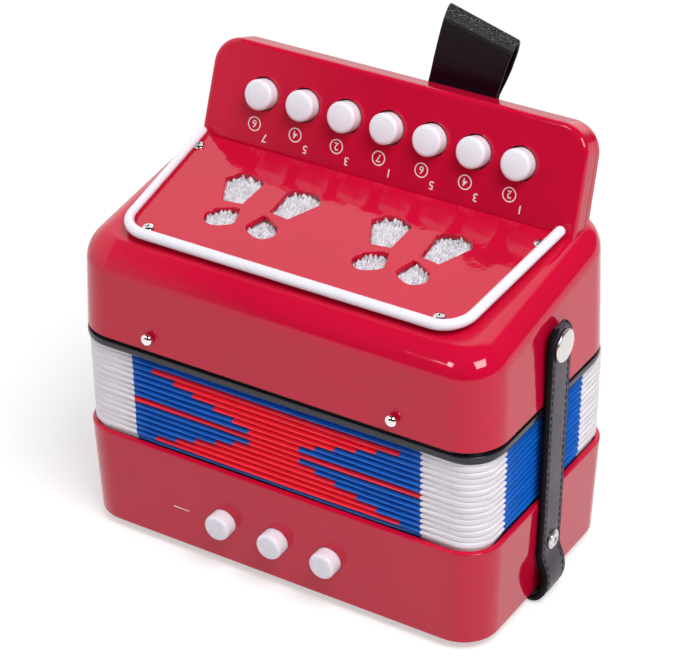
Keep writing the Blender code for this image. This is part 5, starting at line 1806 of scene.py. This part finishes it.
@dataclass
class Straps:
    """Padded straps: one at each side from its clipped end down to the base and under it."""

    palette: Palette
    width: float = 0.015
    thickness: float = BODY.strap_thickness
    hinge_z: float = 0.0320
    foot_x: float = 0.086133
    head_x: float = 0.086877
    end_z: float = 0.1136
    clip: float = 0.004
    bulge: float = 0.0026
    seam: float = 0.0052
    pitch: float = 0.0029
    step: float = 0.0014
    seam_depth: float = 0.00032
    seam_width: float = 0.00045
    crown: float = 0.00012
    wave: float = 0.00007
    dark_rim: float = 0.0013
    stitch_sunk: float = 0.00036
    stitch: Sequence[Spot] = ((0, -0.0010, 0.00012), (0.00012, -0.0007, 0.00022),
                                         (0.0002, 0, 0.00024), (0.00012, 0.0007, 0.00022),
                                         (0, 0.0010, 0.00012))

    def path(self) -> list[Vector]:
        """Middle line of the right strap in X and Z, from its free end to the middle below the base.

        Returns:
            The line's points.
        """
        under = BODY.gap + self.thickness / 2
        wall = BODY.base_x(BODY.strap_screw_z) + BODY.gap + self.thickness / 2
        bend = BODY.strap_screw_z - 0.004
        tuck = BODY.base_x(BODY.floor_z) - BODY.gap
        lean = (self.head_x - self.foot_x) / (BODY.snap_z - self.hinge_z)
        points = [Vector((self.foot_x + lean * (self.end_z - self.hinge_z), self.end_z)),
                  Vector((self.foot_x, self.hinge_z)), Vector((wall, bend))]
        belly = (wall + self.bulge, 0.5 * bend)
        for curve in (((wall, bend), (wall, 0.8 * bend), (belly[0], 0.75 * bend), belly),
                      (belly, (belly[0], 0.25 * bend), (tuck + self.bulge, under), (tuck, under))):
            a, b, c, d = (Vector(p) for p in curve)
            for step in range(1, 13):
                t = step / 12
                near, far = a * (1 - t) ** 3 + b * 3 * t * (1 - t) ** 2, c * 3 * t * t * (1 - t) + d * t ** 3
                points.append(near + far)
        points.append(Vector((0, under)))
        return points

    def section(self, half: float) -> list[Point]:
        """Padded section with a stitched seam near each edge: across and outward, anticlockwise.

        Args:
            half: Half the strap's width at this place.

        Returns:
            The section's points.
        """
        thick = self.thickness / 2
        outer = []
        for step in range(25):
            y = half * 0.9 * (1 - 2 * step / 24)
            seams = (side * (half - self.width / 2 + self.seam) for side in (-1, 1))
            groove = sum(self.seam_depth * math.exp(-((y - seam) / self.seam_width) ** 2) for seam in seams)
            outer.append((y, thick - self.crown * (y / half) ** 2 - groove))
        edge = [(-half * 0.955, thick * 0.72), (-half * 0.99, thick * 0.3), (-half, -thick * 0.15),
                (-half * 0.985, -thick * 0.65), (-half * 0.95, -thick * 0.95)]
        inner = [(half * 0.94 * s, -thick) for s in (-0.9, -0.45, 0.0, 0.45, 0.9)]
        return outer + edge + inner + [(-y, n) for y, n in reversed(edge)]

    def band(self, side: int) -> Piece:
        """Wraps one strap, with its clipped end, and sews it.

        Args:
            side: 1 for the right strap, -1 for the left.

        Returns:
            The strap.
        """
        spots = along(self.path(), self.step)
        fine = [spots[0]]
        for before, after in zip(spots[:5], spots[1:6]):
            for part in (0.33, 0.66, 1.0):
                gone = before[2] + (after[2] - before[2]) * part
                fine.append((before[0].lerp(after[0], part), after[1], gone))
        loops = []
        for spot, out, gone in fine + spots[6:]:
            half = min(self.width / 2, self.width / 2 - self.clip + gone + 0.0001)
            thin = min(1.0, 0.35 + gone / 0.0009)
            loop = []
            for y, n in self.section(half):
                at = spot + out * n * thin
                wave = self.wave * math.sin(gone * 900 + y * 300)
                loop.append(Vector((side * at.x, BODY.strap_y + y + wave, at.y)))
            loops.append(loop)
        piece = sleeve("strap_right" if side > 0 else "strap_left", loops, capped=True)
        self.palette.dress(soften(piece, 50), "strap_grain", "strap_edge")
        # The edges and a narrow band of the face beside them are darkened, partly as edge paint and partly as
        # painted shade on the rounded edge; faces above the screw that turn towards the casing get the same
        # dark finish as painted shade.
        for face in piece.data.polygons:
            past_end = max(0.0, face.center.z - self.end_z + self.clip)
            at_rim = abs(face.center.y - BODY.strap_y) > self.width / 2 - self.dark_rim - past_end
            inner = face.normal.x * side < -0.3 and face.center.z >= BODY.strap_screw_z - 0.010
            face.material_index = int(at_rim or inner)
        return gather(piece.name, [piece, *self.stitches(side)])

    def stitches(self, side: int) -> list[Piece]:
        """Sews the stitches of both seams of one strap, each a short thread that rises in its middle.

        Args:
            side: 1 for the right strap, -1 for the left.

        Returns:
            The stitches.
        """
        thread = thread_line("thread", [(0, rise, z) for rise, z, _ in self.stitch],
                             [radius for _, _, radius in self.stitch], 1)
        self.palette.dress(soften(thread, 60), "thread_black")
        stitches = []
        for spot, out, _ in along(self.path(), self.pitch)[2:-1]:
            at = spot + out * (self.thickness / 2 - self.stitch_sunk)
            ahead, normal = Vector((side * out.y, 0, -out.x)), Vector((side * out.x, 0, out.y))
            axes = Matrix((normal.cross(ahead), normal, ahead)).transposed().to_4x4()
            for row in (-1, 1):
                where = Matrix.Translation((side * at.x, BODY.strap_y + row * self.seam, at.y)) @ axes
                stitches.append(copy_piece(thread, "stitch", where))
        discard(thread)
        return stitches

    def build(self) -> None:
        """Makes both straps and hides the CAD nodes that they replace."""
        for side, name in ((1, "right"), (-1, "left")):
            piece = self.band(side)
            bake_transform(piece)
            if side > 0:
                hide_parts("closing_strap_right", "hand_strap")
            else:
                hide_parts("closing_strap_left")
            LOG.info("%s blends with %d faces", piece.name, len(piece.data.polygons))


@dataclass
class ThumbLoop:
    """Flat leatherette loop that stands up behind the keyboard, with a painted highlight along its fold."""

    palette: Palette
    thick: float = 0.0013
    slack: float = 0.0042
    high: float = 0.0262
    tall: float = 0.0088
    tail: float = 0.0125
    width: float = 0.0275
    left: float = 0.0200
    lean: float = 0.0070
    skew: float = 0.0080
    step: float = 0.0011
    # Drops below the loop's top where the painted highlight's two steps begin.
    half_sheen_below: float = 0.0056
    fold_sheen_below: float = 0.0038

    def path(self) -> list[Vector]:
        """Middle line of the loop in Y and Z: up in front, over the fold and down behind.

        Returns:
            The line's points.
        """
        behind = -BODY.keyboard_depth - BODY.gap - self.thick / 2
        root, tail = (BODY.panel @ Vector((0, BODY.keyboard_rise - down, behind)) for down in (0, self.tail))
        back = BODY.panel.to_3x3() @ Vector((0, 0, -self.thick - BODY.gap))
        half = (self.slack + self.thick) / 2
        middle, bend, neck = root.y + half * 0.7, root.z + 0.35 * self.high, root.z + self.high - self.tall
        fold = [(middle - half * math.cos(a), neck + self.tall * math.sin(a)) for a in quarter(7, 1, 14)]
        points = [(tail.y, tail.z), (root.y, root.z), (middle - half, bend), (middle - half, neck), *fold,
                  (middle + half, neck), (middle + half, bend), (root.y + back.y, root.z + back.z),
                  (tail.y + back.y, tail.z + back.z)]
        return [Vector(point) for point in points]

    def section(self) -> list[Point]:
        """Flat section with rounded edges: across and outward.

        Returns:
            The section's points.
        """
        half, thick = self.width / 2, self.thick / 2
        face = [(half * 0.965 * (1 - 2 * step / 10), thick) for step in range(11)]
        edge = [(-half * 0.99, thick * 0.6), (-half, 0), (-half * 0.99, -thick * 0.6)]
        return face + edge + [(-x, -n) for x, n in face] + [(-x, -n) for x, n in edge]

    def build(self) -> None:
        """Wraps the loop along its path, leaning and skewed, and paints a highlight along its fold with two
        lighter, shinier finishes.
        """
        path = self.path()
        foot = path[1].y
        loops, drops = [], []
        for spot, out, _ in along(eased(path), self.step):
            drops.append(foot + self.high - spot.y)
            share = max(0.0, (spot.y - foot) / self.high)
            loop = []
            for across, up in self.section():
                at = spot + out * up
                z = at.y - self.skew * share * across / self.width
                loop.append(Vector((self.left + self.lean * share + across, at.x, z)))
            loops.append(loop)
        piece = sleeve("thumb_loop", loops, capped=True)
        self.palette.dress(soften(piece, 50), "loop_grain", "loop_painted_half_sheen", "loop_painted_fold_sheen")
        # Faces near the fold take the lighter, shinier finishes: a painted highlight that fades in two steps.
        for face in piece.data.polygons:
            drop = drops[min(face.index // len(loops[0]), len(drops) - 1)]
            face.material_index = int(drop < self.half_sheen_below) + int(drop < self.fold_sheen_below)
        ride(piece, "treble_body", "thumb_strap")


# --- fittings ---
@dataclass
class Fittings:
    """Snaps, screws and pins in bright nickel, and the finishes of the inner parts."""

    palette: Palette
    vent_radius: float = 0.0022
    vent_seat: float = Grille.rise
    bolt_radius: float = 0.0036
    bolt_washer: float = 0.0007
    shank_deep: float = 0.0016
    slot_half: Point = (0.55, 0.11)
    slot_turn: float = 0.35
    pin: Outline = ((0.0010, -0.0060), (0.0010, -0.0026), (0.0020, -0.0026), (0.0023, -0.0022))
    pin_dome: Point = (0.0023, 0.0015)
    cap: Outline = ((0.0055, 0.0), (0.0060, 0.00015), (0.0061, 0.0004), (0.0061, 0.0006),
                            (0.0060, 0.00085), (0.0057, 0.00108), (0.0051, 0.00122), (0.0040, 0.00128),
                            (0.0025, 0.0013), (0.0004, 0.0013))
    stud: Outline = ((0.0010, -0.0022), (0.0010, 0.0), (0.0050, 0.0), (0.0052, 0.0002),
                             (0.0051, 0.0005), (0.0045, 0.00075), (0.0043, 0.0008), (0.0005, 0.0008))

    def head(self, name: str, radius: float, washer: float, where: Matrix, finish: str) -> Piece:
        """Turns a domed screw head with a crossed slot.

        Args:
            name: The piece's name.
            radius: The head's radius.
            washer: Thickness of the washer under it, or 0.
            where: Frame with Z out of the seat.
            finish: Name of its finish.

        Returns:
            The screw's head with a short shank.
        """
        shank, high = radius * 0.40, radius * (0.18 if washer else 0.46)
        profile = [(shank, -self.shank_deep), (shank, 0.0)]
        if washer:
            profile += [(radius, 0.0), (radius, washer * 0.8), (radius * 0.95, washer)]
            radius *= 0.80
        profile += [(radius, washer), (radius, washer + high * 0.30)]
        profile += [(radius * math.cos(a) ** 0.8, washer + high * (0.30 + 0.70 * math.sin(a)))
                    for a in quarter(7, 1, 7)]
        piece = turned(name, profile, Matrix.Identity(4), 36)
        reach, half = (radius * share for share in self.slot_half)
        for turn in (self.slot_turn, self.slot_turn + math.pi / 2):
            bar = block("bar", (-reach, -half, washer + high * 0.25), (reach, half, washer + high * 2))
            combine(piece, [place(bar, Matrix.Rotation(turn, 4, "Z"))])
        return place(self.palette.dress(soften(piece), finish), where)

    def build(self) -> None:
        """Makes every fitting that shows."""
        for number in range(1, 5):
            self.vent_screw(number)
        for side, name in ((1, "right"), (-1, "left")):
            z = BODY.strap_screw_z
            seat = (side * (BODY.base_x(z) + BODY.strap_thickness + 2 * BODY.gap), BODY.strap_y, z)
            where = Matrix.Translation(seat) @ facing(Vector((side, 0, 0)))
            bolt = self.head(f"strap_bolt_{name}", self.bolt_radius, self.bolt_washer, where, "soft_nickel")
            ride(bolt, "root", f"strap_screw_{name}")
            self.snap(side, name)
        for number in range(1, 5):
            self.bellows_pin(number)
        self.inner()

    def vent_screw(self, number: int) -> None:
        """Makes one of the grille's screws beside the place of its node.

        Args:
            number: The screw's number.
        """
        node = f"grille_screw_{number}"
        low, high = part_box(node)
        middle = BODY.top.inverted() @ ((low + high) / 2)
        right, back = BODY.screw_shift
        seat = BODY.top @ Matrix.Translation((middle.x + right, middle.y + back, self.vent_seat))
        screw = self.head(f"vent_screw_{number}", self.vent_radius, 0.0, seat, "bright_nickel")
        ride(screw, "treble_body", node)

    def bellows_pin(self, number: int) -> None:
        """Makes one of the round-headed pins that hold the casing on the bellows.

        Args:
            number: The pin's number.
        """
        node = f"bellows_pin_{number}"
        low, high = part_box(node)
        side = -1 if (low.y + high.y) / 2 < BODY.middle_y else 1
        face = Vector(((low.x + high.x) / 2, low.y if side < 0 else high.y, (low.z + high.z) / 2))
        wide, proud = self.pin_dome
        dome = [(wide * math.cos(a), proud * (math.sin(a) - 1)) for a in quarter(8, 0, 8)]
        where = Matrix.Translation(face) @ facing(Vector((0, side, 0)))
        pin = turned(f"nail_{number}", [*self.pin, *dome], where, 32)
        ride(self.palette.dress(soften(pin, 45), "bright_nickel"), "treble_body", node)

    def snap(self, side: int, name: str) -> None:
        """Turns a snap's cap and its stud.

        Args:
            side: 1 for the right strap, -1 for the left.
            name: The side's name.
        """
        lean = math.atan2(Straps.head_x - Straps.foot_x, BODY.snap_z - Straps.hinge_z)
        out = Vector((side * math.cos(lean), 0, -math.sin(lean)))
        over = BODY.strap_thickness / 2 + BODY.gap
        seat = Vector((side * Straps.head_x, BODY.strap_y, BODY.snap_z)) + out * over
        cap = turned(f"snap_disc_{name}", self.cap, Matrix.Translation(seat) @ facing(out), 56)
        ride(self.palette.dress(soften(cap, 50), "soft_nickel"), f"closing_strap_{name}", f"snap_cap_{name}")
        face = side * (BODY.side_x(BODY.snap_z) + BODY.gap)
        where = Matrix.Translation((face, BODY.strap_y, BODY.snap_z)) @ facing(Vector((side, 0, 0)))
        stud = turned(f"snap_post_{name}", self.stud, where, 40)
        ride(self.palette.dress(soften(stud, 50), "bright_nickel"), "treble_body", f"snap_stud_{name}")

    def inner(self) -> None:
        """Dresses the CAD nodes that stay."""
        for node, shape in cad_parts.items():
            for holder in shape.material_slots:
                slot = holder.material.name.split(".")[0] if holder.material else ""
                finish = self.palette.of_slot(slot)
                if finish:
                    holder.material = finish
                else:
                    LOG.info("%s keeps %s", node, slot)


# --- studio ---
@dataclass
class Studio:
    """White floor, soft light, two small highlights and the camera."""

    azimuth: float = math.radians(31.92)
    elevation: float = math.radians(31.53)
    roll: float = math.radians(-0.46)
    distance: float = 0.90043
    slide: Point = (-0.00124, -0.00976)
    target_z: float = 0.0930
    frame_width: int = 679
    focal: float = 2530.65
    shift: Point = (-1.08, 0.02)
    sensor: float = 36.0
    seen: Point = (0.01, 50.0)
    floor_radius: float = 6.0
    floor_glow: float = 0.48
    dome: float = 0.45
    middle: Spot = (0, 0, 0.09)
    lit_corner: Spot = (0.0745, -0.0426, 0.1158)

    def camera(self) -> None:
        """Sets up the camera."""
        a, e = self.azimuth, self.elevation
        back = Vector((math.sin(a) * math.cos(e), -math.cos(a) * math.cos(e), math.sin(e)))
        right = Vector((math.cos(a), math.sin(a), 0))
        up = back.cross(right)
        target = Vector((0, BODY.middle_y, self.target_z)) + right * self.slide[0] + up * self.slide[1]
        right, up = (right * math.cos(self.roll) + up * math.sin(self.roll),
                     up * math.cos(self.roll) - right * math.sin(self.roll))
        data = bpy.data.cameras.new("camera")
        data.sensor_width = self.sensor
        data.lens = self.focal / self.frame_width * self.sensor
        data.shift_x, data.shift_y = (part / self.frame_width for part in self.shift)
        data.clip_start, data.clip_end = self.seen
        camera = bpy.data.objects.new("camera", data)
        spot = Matrix.Translation(target + back * self.distance)
        camera.matrix_world = spot @ Matrix((right, up, back)).transposed().to_4x4()
        bpy.context.scene.collection.objects.link(camera)
        bpy.context.scene.camera = camera

    def lamp(self, name: str, aim: Spot, way: Spot, away: float, size: float,
             power: float, mirrored: bool = False) -> None:
        """Adds a square lamp, which either lights surfaces or shows in shiny ones only.

        Args:
            name: The lamp's name.
            aim: The point that it faces.
            way: Where it hangs from that point.
            away: How far it hangs from that point.
            size: Its side.
            power: Its power in watts.
            mirrored: Whether it shows in shiny surfaces and lights nothing else.
        """
        data = bpy.data.lights.new(name, "AREA")
        data.shape = "SQUARE"
        data.size = size
        data.energy = power
        lamp = bpy.data.objects.new(name, data)
        offset = Vector(way).normalized() * away
        lamp.matrix_world = Matrix.Translation(Vector(aim) + offset) @ facing(offset)
        lamp.visible_glossy = mirrored
        lamp.visible_diffuse = not mirrored
        bpy.context.scene.collection.objects.link(lamp)

    def world(self) -> None:
        """White room for the eye, a darker zone in front of and above the object for reflections."""
        world = bpy.data.worlds.new("room")
        bpy.context.scene.world = world
        world.use_nodes = True
        world.node_tree.nodes.clear()
        room = Nodes(world.node_tree)
        way = room.node("TexCoord").outputs["Generated"]

        def zone(toward: Spot, start: float, end: float, low: float, high: float) -> Socket:
            """Strength that changes softly between two shares of a direction.

            Args:
                toward: The direction.
                start: The share where the change starts.
                end: The share where it ends.
                low: The strength before it.
                high: The strength after it.

            Returns:
                The strength.
            """
            share = room.node("VectorMath", {0: way}, {1: toward}, operation="DOT_PRODUCT").outputs["Value"]
            return room.node("MapRange", {0: share}, {1: start, 2: end, 3: low, 4: high},
                             interpolation_type="SMOOTHSTEP").outputs[0]

        behind = zone((0, 1, -0.22), 0.08, 0.30, 0.05, 1.4)
        dark_right = zone((1, 0, 0), 0.02, 0.24, 1, 0.05)
        left = zone((-1, 0, -0.05), 0.44, 0.585, 0, 1.1)
        mirrored = room.math("MAXIMUM", room.math("MULTIPLY", behind, dark_right), left)
        white, rays = (1, 1, 1, 1), room.node("LightPath").outputs
        matt = room.node("Background", None, {0: white, 1: self.dome}).outputs[0]
        shiny = room.node("Background", {1: mirrored}, {0: white}).outputs[0]
        seen = room.node("Background", None, {0: white, 1: 1}).outputs[0]
        lit = room.node("MixShader", {0: rays["Is Glossy Ray"], 1: matt, 2: shiny}).outputs[0]
        whole = room.node("MixShader", {0: rays["Is Camera Ray"], 1: lit, 2: seen}).outputs[0]
        room.node("OutputWorld", {0: whole})

    def floor(self) -> None:
        """Lays the white floor."""
        put_down()
        bpy.ops.mesh.primitive_circle_add(vertices=64, radius=self.floor_radius, fill_type="NGON",
                                          location=(0, 0, -0.0001))
        floor = name_new("floor")
        g = Graph("white_floor")
        path = g.node("LightPath")
        seen = g.math("MAXIMUM", path.outputs["Is Camera Ray"], path.outputs["Is Glossy Ray"])
        g.feed("Emission Strength", g.math("MULTIPLY", seen, self.floor_glow))
        g.fix(Base_Color=(0.60, 0.60, 0.60, 1), Roughness=1.0, Specular_IOR_Level=0.0,
              Emission_Color=(1, 1, 1, 1))
        floor.data.materials.append(g.material)

    def build(self) -> None:
        """Sets the stage."""
        self.floor()
        self.world()
        self.lamp("key", self.middle, (0.46, -0.23, 0.86), 1.6, 0.9, 21.0)
        self.lamp("fill", self.middle, (-0.97, -0.12, 0.20), 1.6, 0.9, 5.0)
        self.lamp("glint_left", self.lit_corner, (-0.31, -0.72, 0.62), 1.5, 0.30, 4.4, True)
        self.lamp("glint_right", self.lit_corner, (0.614, -0.349, 0.708), 1.5, 0.60, 16.0, True)
        bpy.context.scene.view_settings.view_transform = "Standard"


def main() -> None:
    """Builds the instrument piece by piece and sets the stage."""
    logging.basicConfig(level=logging.INFO, format="%(message)s")
    studio = Studio()
    studio.camera()
    palette = Palette()
    for part in (TrebleCasing, TrebleButtons, Grille, Bellows, BellowsFrame, BassCasing, Straps, ThumbLoop,
                 Fittings):
        part(palette).build()
        LOG.info("%s is built", part.__name__)
    studio.build()


if __name__ == "__main__":
    main()
